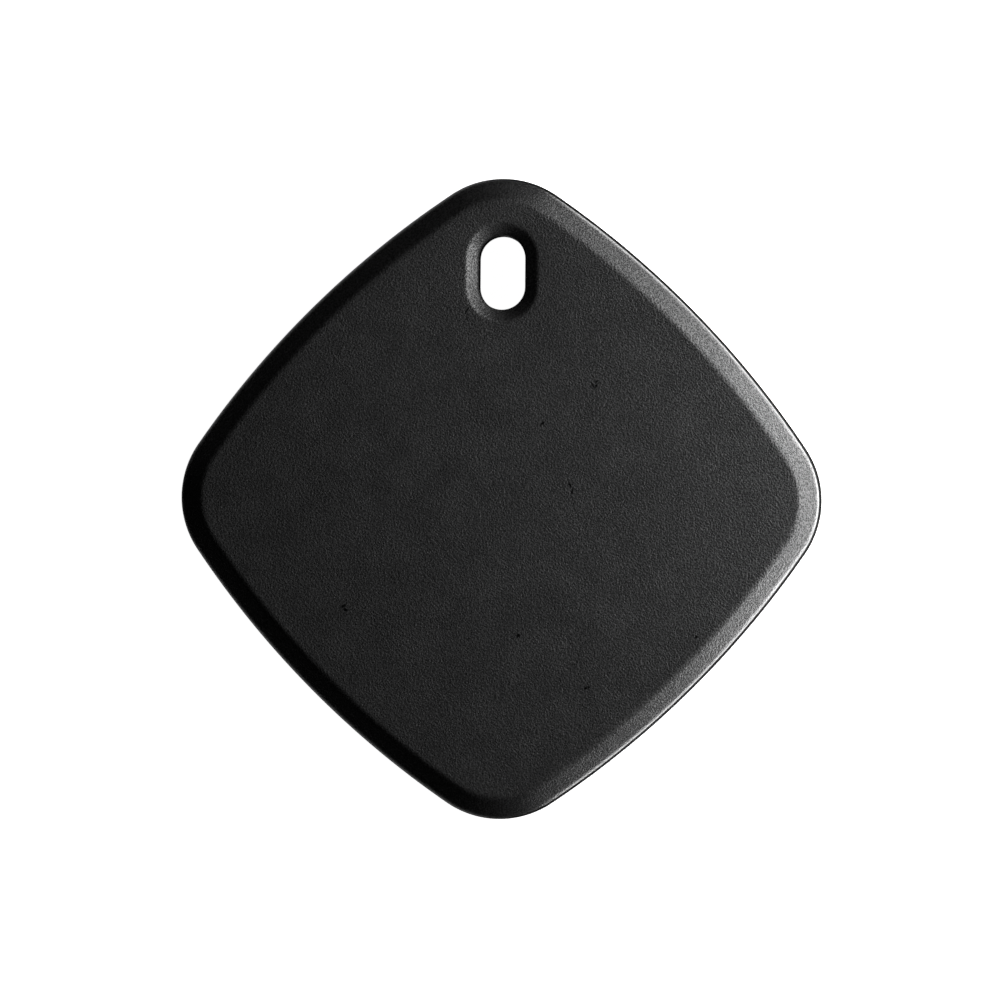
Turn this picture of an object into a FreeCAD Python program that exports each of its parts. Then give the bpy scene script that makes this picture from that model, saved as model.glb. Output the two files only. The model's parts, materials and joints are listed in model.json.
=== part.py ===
import FreeCAD, Part

import math
import os
import re

import Sketcher

# A flat square tracker tag with bulging sides and round corners, lying on its rear face.
# The origin is the middle of the rear face, +Z points out of the front face, and the key-ring slot is
# towards +Y.
# All lengths are in millimetres.

DRIVING_SIZES = {
    # outline: four corner arcs centred on the X and Y axes, joined by four long side arcs
    "corner_reach": 16.47,
    "corner_radius": 6.8,
    "side_radius": 68.5,
    # case
    "tag_height": 9.9,
    "split_height": 5.2,
    "seam_gap": 0.05,
    "cover_inset": 0.15,
    "edge_roll": 2.2,
    "wall": 1.5,
    "rear_wall": 1.2,
    "front_wall": 1.4,
    "lip_inset": 0.85,
    "lip_rise": 0.9,
    "lip_gap": 0.05,
    "seal_rise": 0.4,
    "notch_width": 7.0,
    "notch_depth": 0.7,
    # key-ring slot
    "slot_middle": 16.37,
    "slot_radius": 1.675,
    "slot_straight": 2.03,
    "slot_wall": 1.0,
    "slot_rim": 0.85,
    # snap hooks, one at the middle of each side
    "hook_width": 4.0,
    "hook_inner": 17.2,
    "hook_outer": 18.0,
    "hook_bottom": 4.5,
    "catch_reach": 18.35,
    "catch_lead": 0.3,
    "catch_gap": 0.1,
    # foam pad over the cell, in a low ring under the cover
    "pad_radius": 6.0,
    "rib_inner": 6.1,
    "rib_outer": 6.9,
    "rib_drop": 0.4,
    # circuit board and its screws
    "board_inset": 1.9,
    "board_bottom": 3.4,
    "board_thick": 0.8,
    "boss_radius": 1.7,
    "rest_radius": 1.0,
    "screw_radius": 0.7,
    "screw_fit": 0.01,
    "screw_clearance": 0.1,
    "screw_end": 1.5,
    "screw_head_radius": 1.3,
    "screw_head_rise": 0.6,
    "recess_long": 1.6,
    "recess_wide": 0.35,
    "recess_depth": 0.35,
    # coin cell, standing on the negative contact
    "cell_radius": 10.0,
    "cell_rise": 3.2,
    "cell_bottom": 4.6,
    "can_wall": 0.25,
    "crimp_rise": 0.25,
    "crimp_reach": 0.7,
    "cap_inset": 1.3,
    "cap_step_rise": 0.8,
    "skirt_inset": 0.9,
    "skirt_rise": 1.4,
    "gasket_lift": 0.15,
    "gasket_rise": 1.8,
    "electrode_inset": 1.6,
    "separator_thick": 0.15,
    # cell cradle, with a gap for the side contact and a lower one for a finger
    "cradle_gap": 0.2,
    "cradle_wall": 1.2,
    "cradle_rise": 3.2,
    "contact_gap": 7.4,
    "finger_gap": 8.0,
    "finger_gap_floor": 1.2,
    "peg_radius": 0.6,
    "peg_lift": 0.1,
    # contacts: a sprung blade at the cell's side and a sprung leaf under it
    "sheet_metal": 0.2,
    "blade_rise": 2.4,
    "blade_depth": 1.7,
    "blade_half_flat": 0.75,
    "blade_half_bend": 1.95,
    "blade_half_span": 3.2,
    "blade_gap": 0.02,
    "foot_length": 1.2,
    "leaf_width": 3.0,
    "leaf_half_flat": 2.0,
    "leaf_half_bend": 3.6,
    "leaf_half_span": 5.0,
    # sounder, bonded to the rear wall
    "sounder_middle": 1.0,
    "sounder_radius": 10.0,
    "sounder_pocket": 8.0,
    "sounder_pocket_depth": 0.3,
    "adhesive_thick": 0.1,
    "plate_thick": 0.2,
    "ceramic_radius": 7.0,
    "ceramic_thick": 0.2,
    # sprung fingers from the board down to the sounder
    "finger_metal": 0.12,
    "finger_width": 1.2,
    "finger_foot": 1.8,
    "finger_slant": 2.1,
    "finger_toe": 0.6,
    # button in the rear face, with a dished middle
    "button_middle": -15.2,
    "button_radius": 3.3,
    "button_gap": 0.05,
    "button_recess": 0.15,
    "dish_depth": 0.25,
    "dish_radius": 2.9,
    "button_rim": 0.15,
    "flange_radius": 4.0,
    "flange_thick": 0.4,
    "membrane_radius": 5.0,
    "membrane_web": 0.25,
    "pip_radius": 0.8,
    "switch_side": 3.6,
    "switch_bottom": 2.65,
    "switch_cavity": 1.4,
    "switch_roof": 0.2,
    "switch_plate_thick": 0.1,
    "dome_radius": 1.25,
    "dome_crown": 0.6,
    "dome_rise": 0.24,
    "dome_sheet": 0.06,
    "actuator_end": 2.35,
    "actuator_radius": 0.75,
    "collar_radius": 1.05,
    "collar_thick": 0.13,
    "collar_gap": 0.01,
}

# Middle of each board screw, as X and Y.
SCREW_PLACES = ((-18.4, 0.0), (6.6, 14.0), (9.2, -13.6))
# Middle of each plain post that also carries the board.
REST_PLACES = ((-6.6, 14.0), (-9.2, -13.6), (18.6, 0.0))
# Middle of each peg of the cell cradle, all within its ring wall.
PEG_PLACES = ((-7.6, 7.6), (7.6, 7.6), (9.3, -5.37))

doc = FreeCAD.newDocument("TrackerTag")
sizes = doc.addObject("Spreadsheet::Sheet", "Sizes")
for row, (alias, value) in enumerate(DRIVING_SIZES.items(), start=1):
    sizes.set(f"A{row}", alias)
    sizes.set(f"B{row}", str(value))
    sizes.setAlias(f"B{row}", alias)
doc.recompute()

nodes = []


def on_sheet(formula):
    """A formula in the sheet's aliases, written the way an expression has to name them."""
    word = re.compile(r"[a-z_]+")
    return word.sub(lambda m: f"Sizes.{m.group()}" if m.group() in DRIVING_SIZES else m.group(), str(formula))


def bind(thing, prop, formula):
    thing.setExpression(prop, on_sheet(formula))


def number(formula):
    """What a formula comes to, for the starting shape of a sketch."""
    return float(sizes.evalExpression(on_sheet(formula)))


# ---------------------------------------------------------------- sketches


def new_body(label):
    made = doc.addObject("PartDesign::Body", label)
    made.Label = label
    nodes.append(made)
    return made


def origin_feature(body, role):
    return next(f for f in body.Origin.OriginFeatures if f.Role == role)


def new_sketch(body, name, height="0", role="XY_Plane", turn_deg=0.0):
    sketch = body.newObject("Sketcher::SketchObject", f"{body.Name}_{name}")
    sketch.AttachmentSupport = [(origin_feature(body, role), "")]
    sketch.MapMode = "FlatFace"
    spin = FreeCAD.Rotation(FreeCAD.Vector(0, 0, 1), turn_deg)
    sketch.AttachmentOffset = FreeCAD.Placement(FreeCAD.Vector(0, 0, number(height)), spin)
    bind(sketch, "AttachmentOffset.Base.z", height)
    return sketch


def constrain(sketch, formula, kind, *places):
    """Adds one constraint whose value is a formula."""
    index = sketch.addConstraint(Sketcher.Constraint(kind, *places, number(formula)))
    bind(sketch, f"Constraints[{index}]", formula)


def relate(sketch, kind, *places):
    sketch.addConstraint(Sketcher.Constraint(kind, *places))


def place_point(sketch, geometry, point, x, y):
    constrain(sketch, x, "DistanceX", -1, 1, geometry, point)
    constrain(sketch, y, "DistanceY", -1, 1, geometry, point)


def draw_circle(sketch, x, y, radius):
    middle = FreeCAD.Vector(number(x), number(y), 0)
    circle = sketch.addGeometry(Part.Circle(middle, FreeCAD.Vector(0, 0, 1), number(radius)))
    place_point(sketch, circle, 3, x, y)
    constrain(sketch, radius, "Radius", circle)


def draw_polygon(sketch, points):
    """A closed run of straight lines through points given as pairs of formulas."""
    corners = [FreeCAD.Vector(number(x), number(y), 0) for x, y in points]
    lines = []
    for start, end in zip(corners, corners[1:] + corners[:1]):
        lines.append(sketch.addGeometry(Part.LineSegment(start, end)))
    for line, following in zip(lines, lines[1:] + lines[:1]):
        relate(sketch, "Coincident", line, 2, following, 1)
    for line, (x, y) in zip(lines, points):
        place_point(sketch, line, 1, x, y)


def draw_box(sketch, low_x, low_y, high_x, high_y):
    draw_polygon(sketch, ((low_x, low_y), (high_x, low_y), (high_x, high_y), (low_x, high_y)))


def draw_strip(sketch, path, thick):
    """A bent strip seen from its edge: the path, and the same path moved by thick along the sketch's Y."""
    moved = [(x, f"{y} + ({thick})") for x, y in reversed(path)]
    draw_polygon(sketch, (*path, *moved))


def arc_between(middle, radius, start_deg, end_deg):
    circle = Part.Circle(middle, FreeCAD.Vector(0, 0, 1), radius)
    return Part.ArcOfCircle(circle, math.radians(start_deg), math.radians(end_deg))


def draw_slot(sketch, radius):
    """The key-ring slot's outline: two half circles joined by two straight lines."""
    half = number("slot_straight / 2")
    middle = number("slot_middle")
    size = number(radius)
    upper = sketch.addGeometry(arc_between(FreeCAD.Vector(0, middle + half, 0), size, 0, 180))
    lower = sketch.addGeometry(arc_between(FreeCAD.Vector(0, middle - half, 0), size, 180, 360))
    left = sketch.addGeometry(
        Part.LineSegment(FreeCAD.Vector(-size, middle + half, 0), FreeCAD.Vector(-size, middle - half, 0))
    )
    right = sketch.addGeometry(
        Part.LineSegment(FreeCAD.Vector(size, middle - half, 0), FreeCAD.Vector(size, middle + half, 0))
    )
    place_point(sketch, upper, 3, "0", "slot_middle + slot_straight / 2")
    place_point(sketch, lower, 3, "0", "slot_middle - slot_straight / 2")
    relate(sketch, "Tangent", upper, 2, left, 1)
    relate(sketch, "Tangent", left, 2, lower, 1)
    relate(sketch, "Tangent", lower, 2, right, 1)
    relate(sketch, "Coincident", right, 2, upper, 1)
    constrain(sketch, radius, "Radius", upper)


def draw_outline(sketch, inset):
    """The tag's outline, moved inwards by inset: the arcs keep their centres and lose that much radius."""
    reach = number("corner_reach")
    corner = number(f"corner_radius - ({inset})")
    side = number(f"side_radius - ({inset})")
    # the side arc's centre is on the diagonal, on the far side of the origin, and touches both corner arcs
    shift = (math.sqrt(2 * (side - corner) ** 2 - reach**2) - reach) / 2
    lean_deg = math.degrees(math.atan2(shift, reach + shift))
    corners = []
    sides = []
    for quarter in range(4):
        turn = 90.0 * quarter
        spin = FreeCAD.Rotation(FreeCAD.Vector(0, 0, 1), turn)
        corner_middle = spin.multVec(FreeCAD.Vector(reach, 0, 0))
        side_middle = spin.multVec(FreeCAD.Vector(-shift, -shift, 0))
        corner_arc = arc_between(corner_middle, corner, turn - lean_deg, turn + lean_deg)
        side_arc = arc_between(side_middle, side, turn + lean_deg, turn + 90 - lean_deg)
        corners.append(sketch.addGeometry(corner_arc))
        sides.append(sketch.addGeometry(side_arc))
        across = "corner_reach" if quarter in (0, 1) else "-corner_reach"
        along_x = quarter % 2 == 0
        place_point(sketch, corners[-1], 3, across if along_x else "0", "0" if along_x else across)
    for quarter in range(4):
        relate(sketch, "Tangent", corners[quarter], 2, sides[quarter], 1)
        relate(sketch, "Tangent", sides[quarter], 2, corners[(quarter + 1) % 4], 1)
    for quarter in range(1, 4):
        relate(sketch, "Equal", corners[0], corners[quarter])
    constrain(sketch, f"corner_radius - ({inset})", "Radius", corners[0])
    constrain(sketch, f"side_radius - ({inset})", "Radius", sides[0])
    relate(sketch, "Equal", sides[0], sides[1])
    relate(sketch, "Equal", sides[0], sides[2])
    relate(sketch, "Equal", sides[0], sides[3])


# ---------------------------------------------------------------- features of a body


def volume(body):
    doc.recompute()
    return body.Shape.Volume


def add_pad(body, name, sketch, length, midplane=False):
    pad = body.newObject("PartDesign::Pad", f"{body.Name}_{name}")
    pad.Profile = sketch
    pad.Midplane = midplane
    bind(pad, "Length", length)
    doc.recompute()
    return pad


def add_pocket(body, name, sketch, depth, upwards=False):
    """Cuts the sketch out of the body, down from its plane, or up from it."""
    before = volume(body)
    pocket = body.newObject("PartDesign::Pocket", f"{body.Name}_{name}")
    pocket.Profile = sketch
    pocket.Reversed = upwards
    bind(pocket, "Length", depth)
    if volume(body) >= before:
        raise RuntimeError(f"{body.Label}: {name} cuts nothing")
    return pocket


def add_fillet(body, name, radius, wanted):
    """Rounds each edge of the body's last feature for which wanted(edge) is true."""
    base = body.Tip
    edges = [f"Edge{i}" for i, edge in enumerate(base.Shape.Edges, start=1) if wanted(edge)]
    fillet = body.newObject("PartDesign::Fillet", f"{body.Name}_{name}")
    fillet.Base = (base, edges)
    bind(fillet, "Radius", radius)
    doc.recompute()


def add_turn_pattern(body, name, feature, count):
    """Repeats a feature round the body's Z axis."""
    pattern = body.newObject("PartDesign::PolarPattern", f"{body.Name}_{name}")
    pattern.Originals = [feature]
    pattern.Axis = (origin_feature(body, "Z_Axis"), [""])
    pattern.Angle = 360
    pattern.Occurrences = count
    body.Tip = pattern
    doc.recompute()


def turned(label, profile, y="0"):
    """A piece turned about its own Z axis, at the given Y, from a profile of (radius, height) formulas."""
    body = new_body(label)
    sketch = new_sketch(body, "profile", role="XZ_Plane")
    draw_polygon(sketch, profile)
    turn = body.newObject("PartDesign::Revolution", f"{label}_turn")
    turn.Profile = sketch
    turn.ReferenceAxis = (sketch, ["V_Axis"])
    turn.Angle = 360
    bind(body, "Placement.Base.y", y)


def at_height(height):
    """Picks the edges that lie flat at one height."""
    level = number(height)
    return lambda edge: abs(edge.BoundBox.ZMin - level) < 1e-4 and abs(edge.BoundBox.ZMax - level) < 1e-4


def around_slot(height):
    """Picks the slot's own edges at one height: all within the slot's half length of its middle."""
    flat = at_height(height)
    middle = FreeCAD.Vector(0, number("slot_middle"), number(height))
    reach = number("slot_radius + slot_straight / 2") + 1e-3
    return lambda edge: flat(edge) and all(v.Point.distanceToPoint(middle) < reach for v in edge.Vertexes)


# ---------------------------------------------------------------- loose primitives


def box(name, x, y, z, long, wide, rise):
    """A box standing on height z with its middle at x, y."""
    made = doc.addObject("Part::Box", name)
    bind(made, "Length", long)
    bind(made, "Width", wide)
    bind(made, "Height", rise)
    bind(made, "Placement.Base.x", f"{x} - ({long}) / 2")
    bind(made, "Placement.Base.y", f"{y} - ({wide}) / 2")
    bind(made, "Placement.Base.z", z)
    return made


def rod(name, x, y, z, radius, rise):
    made = doc.addObject("Part::Cylinder", name)
    bind(made, "Radius", radius)
    bind(made, "Height", rise)
    bind(made, "Placement.Base.x", x)
    bind(made, "Placement.Base.y", y)
    bind(made, "Placement.Base.z", z)
    return made


def cut(label, base, *tools):
    """Takes each tool away from the base, one after another."""
    for number_in_row, tool in enumerate(tools, start=1):
        made = doc.addObject("Part::Cut", f"{label}_cut_{number_in_row}")
        made.Base = base
        made.Tool = tool
        base = made
    return base


def fuse(label, pieces):
    made = doc.addObject("Part::MultiFuse", f"{label}_joined")
    made.Shapes = pieces
    made.Refine = True
    return made


def group(label, pieces):
    """Several identical pieces that share a node and stay separate solids."""
    made = doc.addObject("Part::Compound", f"{label}_set")
    made.Links = pieces
    return made


def keep(label, made):
    """Names a finished piece and lists it among the nodes."""
    made.Label = label
    nodes.append(made)


# ---------------------------------------------------------------- case


def make_rear_case():
    body = new_body("rear_case")
    outer = new_sketch(body, "outline")
    draw_outline(outer, "0")
    add_pad(body, "shell", outer, "split_height")
    add_fillet(body, "rear_roll", "edge_roll", at_height("0"))

    inner = new_sketch(body, "inside", "split_height")
    draw_outline(inner, "wall")
    add_pocket(body, "hollow", inner, "split_height - rear_wall")

    lip = new_sketch(body, "lip_ring", "split_height")
    draw_outline(lip, "lip_inset")
    draw_outline(lip, "wall")
    add_pad(body, "lip", lip, "lip_rise")

    sleeve = new_sketch(body, "slot_sleeve_outline", "rear_wall")
    draw_slot(sleeve, "slot_radius + slot_wall")
    add_pad(body, "slot_sleeve", sleeve, "split_height - rear_wall")
    slot = new_sketch(body, "slot_outline", "split_height")
    draw_slot(slot, "slot_radius")
    add_pocket(body, "slot", slot, "split_height")
    add_fillet(body, "slot_rim", "slot_rim", around_slot("0"))

    posts = new_sketch(body, "post_circles", "rear_wall")
    for x, y in SCREW_PLACES:
        draw_circle(posts, x, y, "boss_radius")
    for x, y in REST_PLACES:
        draw_circle(posts, x, y, "rest_radius")
    add_pad(body, "posts", posts, "board_bottom - rear_wall")
    pilots = new_sketch(body, "pilot_circles", "board_bottom")
    for x, y in SCREW_PLACES:
        draw_circle(pilots, x, y, "screw_radius + screw_fit")
    add_pocket(body, "pilots", pilots, "board_bottom - screw_end + screw_clearance")

    cavity = new_sketch(body, "sounder_circle", "rear_wall")
    draw_circle(cavity, "0", "sounder_middle", "sounder_pocket")
    add_pocket(body, "sounder_pocket", cavity, "sounder_pocket_depth")
    hole = new_sketch(body, "button_circle", "rear_wall")
    draw_circle(hole, "0", "button_middle", "button_radius + button_gap")
    add_pocket(body, "button_hole", hole, "rear_wall")

    catch = new_sketch(body, "catch_box", "split_height - catch_gap", turn_deg=45)
    half_width = "(hook_width / 2 + 2 * catch_gap)"
    draw_box(catch, "hook_inner", f"-{half_width}", "catch_reach + catch_gap", half_width)
    catches = add_pocket(body, "catch", catch, "split_height - hook_bottom - catch_gap")
    add_turn_pattern(body, "catches", catches, 4)

    notch = new_sketch(body, "pry_notch_box", "split_height")
    edge = "-(corner_reach + corner_radius)"
    draw_box(notch, "-notch_width / 2", f"{edge} - wall", "notch_width / 2", f"{edge} + notch_depth")
    add_pocket(body, "pry_notch", notch, "notch_depth")


def make_front_cover():
    body = new_body("front_cover")
    low = "(split_height + seam_gap)"
    ceiling = "(tag_height - front_wall)"
    outer = new_sketch(body, "outline", low)
    draw_outline(outer, "cover_inset")
    add_pad(body, "shell", outer, f"tag_height - {low}")
    add_fillet(body, "front_roll", "edge_roll", at_height("tag_height"))

    inner = new_sketch(body, "inside", low)
    draw_outline(inner, "wall")
    add_pocket(body, "hollow", inner, f"{ceiling} - {low}", upwards=True)
    step = new_sketch(body, "lip_seat_outline", low)
    draw_outline(step, "lip_inset - lip_gap")
    add_pocket(body, "lip_seat", step, "lip_rise + seal_rise - seam_gap", upwards=True)

    sleeve = new_sketch(body, "slot_sleeve_outline", low)
    draw_slot(sleeve, "slot_radius + slot_wall")
    add_pad(body, "slot_sleeve", sleeve, f"{ceiling} - {low}")
    slot = new_sketch(body, "slot_outline", "tag_height")
    draw_slot(slot, "slot_radius")
    add_pocket(body, "slot", slot, f"tag_height - {low}")
    add_fillet(body, "slot_rim", "slot_rim", around_slot("tag_height"))

    rib = new_sketch(body, "pad_rib_ring", f"{ceiling} - rib_drop")
    draw_circle(rib, "0", "0", "rib_inner")
    draw_circle(rib, "0", "0", "rib_outer")
    add_pad(body, "pad_rib", rib, "rib_drop")


def make_snap_hooks():
    """Four flexible tongues hanging from the cover's ceiling, each with a bead that sits in a catch."""
    body = new_body("cover_snap_hooks")
    body.AllowCompound = True
    profile = new_sketch(body, "profile", role="XZ_Plane")
    top = "tag_height - front_wall"
    bead = "(split_height - 2 * catch_gap)"
    draw_polygon(
        profile,
        (
            ("hook_inner", top),
            ("hook_inner", "hook_bottom"),
            ("hook_outer", "hook_bottom"),
            ("catch_reach", "hook_bottom + catch_lead"),
            ("catch_reach", bead),
            ("hook_outer", bead),
            ("hook_outer", top),
        ),
    )
    tongue = add_pad(body, "tongue", profile, "hook_width", midplane=True)
    add_turn_pattern(body, "tongues", tongue, 4)
    body.Placement = FreeCAD.Placement(FreeCAD.Vector(), FreeCAD.Rotation(FreeCAD.Vector(0, 0, 1), 45))


def make_perimeter_seal():
    body = new_body("perimeter_seal")
    ring = new_sketch(body, "ring", "split_height + lip_rise")
    draw_outline(ring, "lip_inset")
    draw_outline(ring, "wall")
    add_pad(body, "seal", ring, "seal_rise")


def make_battery_pad():
    low = "(cell_bottom + cell_rise)"
    disc = rod("battery_pad_disc", "0", "0", low, "pad_radius", f"tag_height - front_wall - {low}")
    keep("battery_pad", disc)


# ---------------------------------------------------------------- coin cell


def make_coin_cell():
    """A lithium cell with its negative cap facing down and its positive can facing up."""
    top = "(cell_bottom + cell_rise)"
    crimp_low = "(cell_bottom + crimp_rise)"
    crimp_high = f"({crimp_low} + sheet_metal)"
    step = "(cell_bottom + cap_step_rise)"
    ceiling = f"({top} - can_wall)"
    wall = "cell_radius - can_wall"
    rim = "cell_radius - crimp_reach"
    cap = "cell_radius - cap_inset"
    skirt = "cell_radius - skirt_inset"
    turned(
        "cell_can",
        (
            ("0", top),
            ("cell_radius", top),
            ("cell_radius", crimp_low),
            (rim, crimp_low),
            (rim, crimp_high),
            (wall, crimp_high),
            (wall, ceiling),
            ("0", ceiling),
        ),
    )
    turned(
        "cell_cap",
        (
            ("0", "cell_bottom"),
            (cap, "cell_bottom"),
            (cap, step),
            (skirt, step),
            (skirt, "cell_bottom + skirt_rise"),
            (f"{skirt} - sheet_metal", "cell_bottom + skirt_rise"),
            (f"{skirt} - sheet_metal", f"{step} + sheet_metal"),
            (f"{cap} - sheet_metal", f"{step} + sheet_metal"),
            (f"{cap} - sheet_metal", "cell_bottom + sheet_metal"),
            ("0", "cell_bottom + sheet_metal"),
        ),
    )
    turned(
        "cell_gasket",
        (
            (cap, "cell_bottom + gasket_lift"),
            (rim, "cell_bottom + gasket_lift"),
            (rim, crimp_high),
            (wall, crimp_high),
            (wall, "cell_bottom + gasket_rise"),
            (skirt, "cell_bottom + gasket_rise"),
            (skirt, step),
            (cap, step),
        ),
    )
    layers = (
        ("lithium_disc", "(cell_bottom + sheet_metal)", step),
        ("cell_separator", step, f"({step} + separator_thick)"),
        ("cathode_pellet", f"({step} + separator_thick)", ceiling),
    )
    electrode = "cell_radius - electrode_inset"
    for label, low, high in layers:
        keep(label, rod(f"{label}_layer", "0", "0", low, electrode, f"{high} - {low}"))


# ---------------------------------------------------------------- board, cradle and contacts


def make_circuit_board():
    body = new_body("circuit_board")
    edge = new_sketch(body, "edge", "board_bottom")
    draw_outline(edge, "board_inset")
    draw_slot(edge, "slot_radius + slot_wall + 0.3")
    for x, y in SCREW_PLACES:
        draw_circle(edge, x, y, "screw_radius + screw_clearance")
    for x, y in PEG_PLACES:
        draw_circle(edge, x, y, "peg_radius + screw_fit")
    add_pad(body, "laminate", edge, "board_thick")


def make_board_screws():
    top = "(board_bottom + board_thick)"
    recess_floor = f"{top} + screw_head_rise - recess_depth"
    screws = []
    for index, (x, y) in enumerate(SCREW_PLACES, start=1):
        name = f"screw_{index}"
        shank = rod(f"{name}_shank", x, y, "screw_end", "screw_radius", f"{top} - screw_end")
        head = rod(f"{name}_head", x, y, top, "screw_head_radius", "screw_head_rise")
        solid = fuse(name, [shank, head])
        recesses = []
        for way, along, across in (("x", "recess_long", "recess_wide"), ("y", "recess_wide", "recess_long")):
            recesses.append(box(f"{name}_recess_{way}", x, y, recess_floor, along, across, "recess_depth"))
        screws.append(cut(name, solid, *recesses))
    keep("board_screws", group("board_screws", screws))


def make_battery_cradle():
    """A ring round the cell, open where the side contact reaches in and low where a finger lifts the cell."""
    floor = "(board_bottom + board_thick)"
    inner = "(cell_radius + cradle_gap)"
    outer = f"({inner} + cradle_wall)"
    through = "4 * cradle_wall"
    ring = rod("cradle_ring", "0", "0", floor, outer, "cradle_rise")
    bore = rod("cradle_bore", "0", "0", floor, inner, "cradle_rise")
    contact_gap = box("cradle_contact_gap", "0", f"-{outer}", floor, "contact_gap", through, "cradle_rise")
    sill = f"{floor} + finger_gap_floor"
    finger_gap = box("cradle_finger_gap", f"-{outer}", "0", sill, through, "finger_gap", "cradle_rise")
    wall = cut("battery_cradle", ring, bore, contact_gap, finger_gap)
    pegs = []
    for index, (x, y) in enumerate(PEG_PLACES, start=1):
        pegs.append(rod(f"cradle_peg_{index}", x, y, "board_bottom + peg_lift", "peg_radius", "board_thick"))
    keep("battery_cradle", fuse("battery_cradle", [wall, *pegs]))


def make_contacts():
    """Sprung strips: a blade bears on the can's side, and a leaf presses up on the cap."""
    floor = "(board_bottom + board_thick)"
    blade = new_body("positive_contact")
    strip = new_sketch(blade, "strip", floor)
    front = "-(cell_radius + blade_gap)"
    back = f"({front} - blade_depth)"
    path = (
        ("-blade_half_span", back),
        ("-blade_half_bend", back),
        ("-blade_half_flat", front),
        ("blade_half_flat", front),
        ("blade_half_bend", back),
        ("blade_half_span", back),
    )
    draw_strip(strip, path, "-sheet_metal")
    add_pad(blade, "blade", strip, "blade_rise")
    feet = new_sketch(blade, "feet", floor)
    rear = f"{back} - sheet_metal"
    draw_box(feet, "-blade_half_span", f"{rear} - foot_length", "-blade_half_bend", rear)
    draw_box(feet, "blade_half_bend", f"{rear} - foot_length", "blade_half_span", rear)
    add_pad(blade, "solder_feet", feet, "sheet_metal")

    leaf = new_body("negative_contact")
    profile = new_sketch(leaf, "profile", role="XZ_Plane")
    raised = "cell_bottom - sheet_metal"
    path = (
        ("-leaf_half_span", floor),
        ("-leaf_half_bend", floor),
        ("-leaf_half_flat", raised),
        ("leaf_half_flat", raised),
        ("leaf_half_bend", floor),
        ("leaf_half_span", floor),
    )
    draw_strip(profile, path, "sheet_metal")
    add_pad(leaf, "leaf", profile, "leaf_width", midplane=True)


# ---------------------------------------------------------------- components on the board

# Label, then the middle X, middle Y, length, width and height of each component standing on the board.
SINGLE_COMPONENTS = (
    ("bluetooth_chip", -14.6, 2.0, 4.0, 4.0, 0.85),
    ("main_crystal", -14.4, -1.8, 2.0, 1.6, 0.5),
    ("clock_crystal", -15.0, -4.2, 3.2, 1.5, 0.8),
    ("chip_antenna", 15.6, 0.0, 1.6, 3.2, 1.1),
    ("supply_inductor", -12.8, -6.8, 2.0, 1.6, 1.0),
    ("reservoir_capacitor", -6.4, -13.4, 3.2, 1.6, 1.6),
    ("buzzer_inductor", 12.6, -7.4, 3.0, 3.0, 1.4),
    ("buzzer_driver", 12.9, 6.4, 2.0, 1.25, 0.9),
)
# Middle X and Y of the small chip parts, by node: length, width and height, then the places.
SMALL_COMPONENTS = {
    "matching_inductors": ((1.0, 0.5, 0.5), ((13.6, 1.0), (13.6, -1.0))),
    "ceramic_capacitors": (
        (1.0, 0.5, 0.5),
        ((-17.4, 3.6), (-17.4, 2.6), (-14.0, 5.4), (-15.6, 5.4), (-12.4, -1.8), (-15.0, -6.4), (12.9, 4.7)),
    ),
    "chip_resistors": (
        (1.0, 0.5, 0.35),
        ((-11.9, 6.9), (-11.9, 8.0), (12.9, 8.2), (12.9, -4.6), (5.0, -14.0), (-11.2, -9.0)),
    ),
}
TEST_PAD_PLACES = ((-3.2, -16.4), (-1.6, -16.4), (0.0, -16.4), (1.6, -16.4), (3.2, -16.4))


def make_components():
    floor = "board_bottom + board_thick"
    for label, x, y, long, wide, rise in SINGLE_COMPONENTS:
        keep(label, box(f"{label}_block", x, y, floor, long, wide, rise))
    for label, ((long, wide, rise), places) in SMALL_COMPONENTS.items():
        chips = []
        for index, (x, y) in enumerate(places, start=1):
            chips.append(box(f"{label}_{index}", x, y, floor, long, wide, rise))
        keep(label, group(label, chips))
    pads = []
    for index, (x, y) in enumerate(TEST_PAD_PLACES, start=1):
        pads.append(rod(f"test_pad_{index}", x, y, floor, "0.5", "0.05"))
    keep("test_pads", group("test_pads", pads))


# ---------------------------------------------------------------- sounder


def make_sounder():
    """A brass and ceramic bender glued by its rim over a shallow pocket in the rear wall."""
    disc = rod("adhesive_disc", "0", "sounder_middle", "rear_wall", "sounder_radius", "adhesive_thick")
    bore = rod("adhesive_bore", "0", "sounder_middle", "rear_wall", "sounder_pocket", "adhesive_thick")
    keep("sounder_adhesive_ring", cut("sounder_adhesive_ring", disc, bore))
    plate_bottom = "rear_wall + adhesive_thick"
    plate = rod("plate_disc", "0", "sounder_middle", plate_bottom, "sounder_radius", "plate_thick")
    keep("sounder_plate", plate)
    plate_top = f"{plate_bottom} + plate_thick"
    ceramic = rod("ceramic_disc", "0", "sounder_middle", plate_top, "ceramic_radius", "ceramic_thick")
    keep("sounder_ceramic", ceramic)
    between = "(sounder_radius + ceramic_radius) / 2"
    make_sounder_spring("plate_spring", f"-{between}", plate_top)
    make_sounder_spring("ceramic_spring", "-ceramic_radius / 2", f"{plate_top} + ceramic_thick")


def make_sounder_spring(label, tip, low):
    """A sprung finger soldered under the board, slanting down to touch the sounder at height low."""
    body = new_body(label)
    strip = new_sketch(body, "strip", role="XZ_Plane")
    foot = "board_bottom - finger_metal"
    path = (
        (f"{tip} - finger_slant - finger_foot", foot),
        (f"{tip} - finger_slant", foot),
        (tip, low),
        (f"{tip} + finger_toe", low),
    )
    draw_strip(strip, path, "finger_metal")
    add_pad(body, "finger", strip, "finger_width", midplane=True)
    bind(body, "Placement.Base.y", "sounder_middle")


# ---------------------------------------------------------------- button and switch


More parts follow.
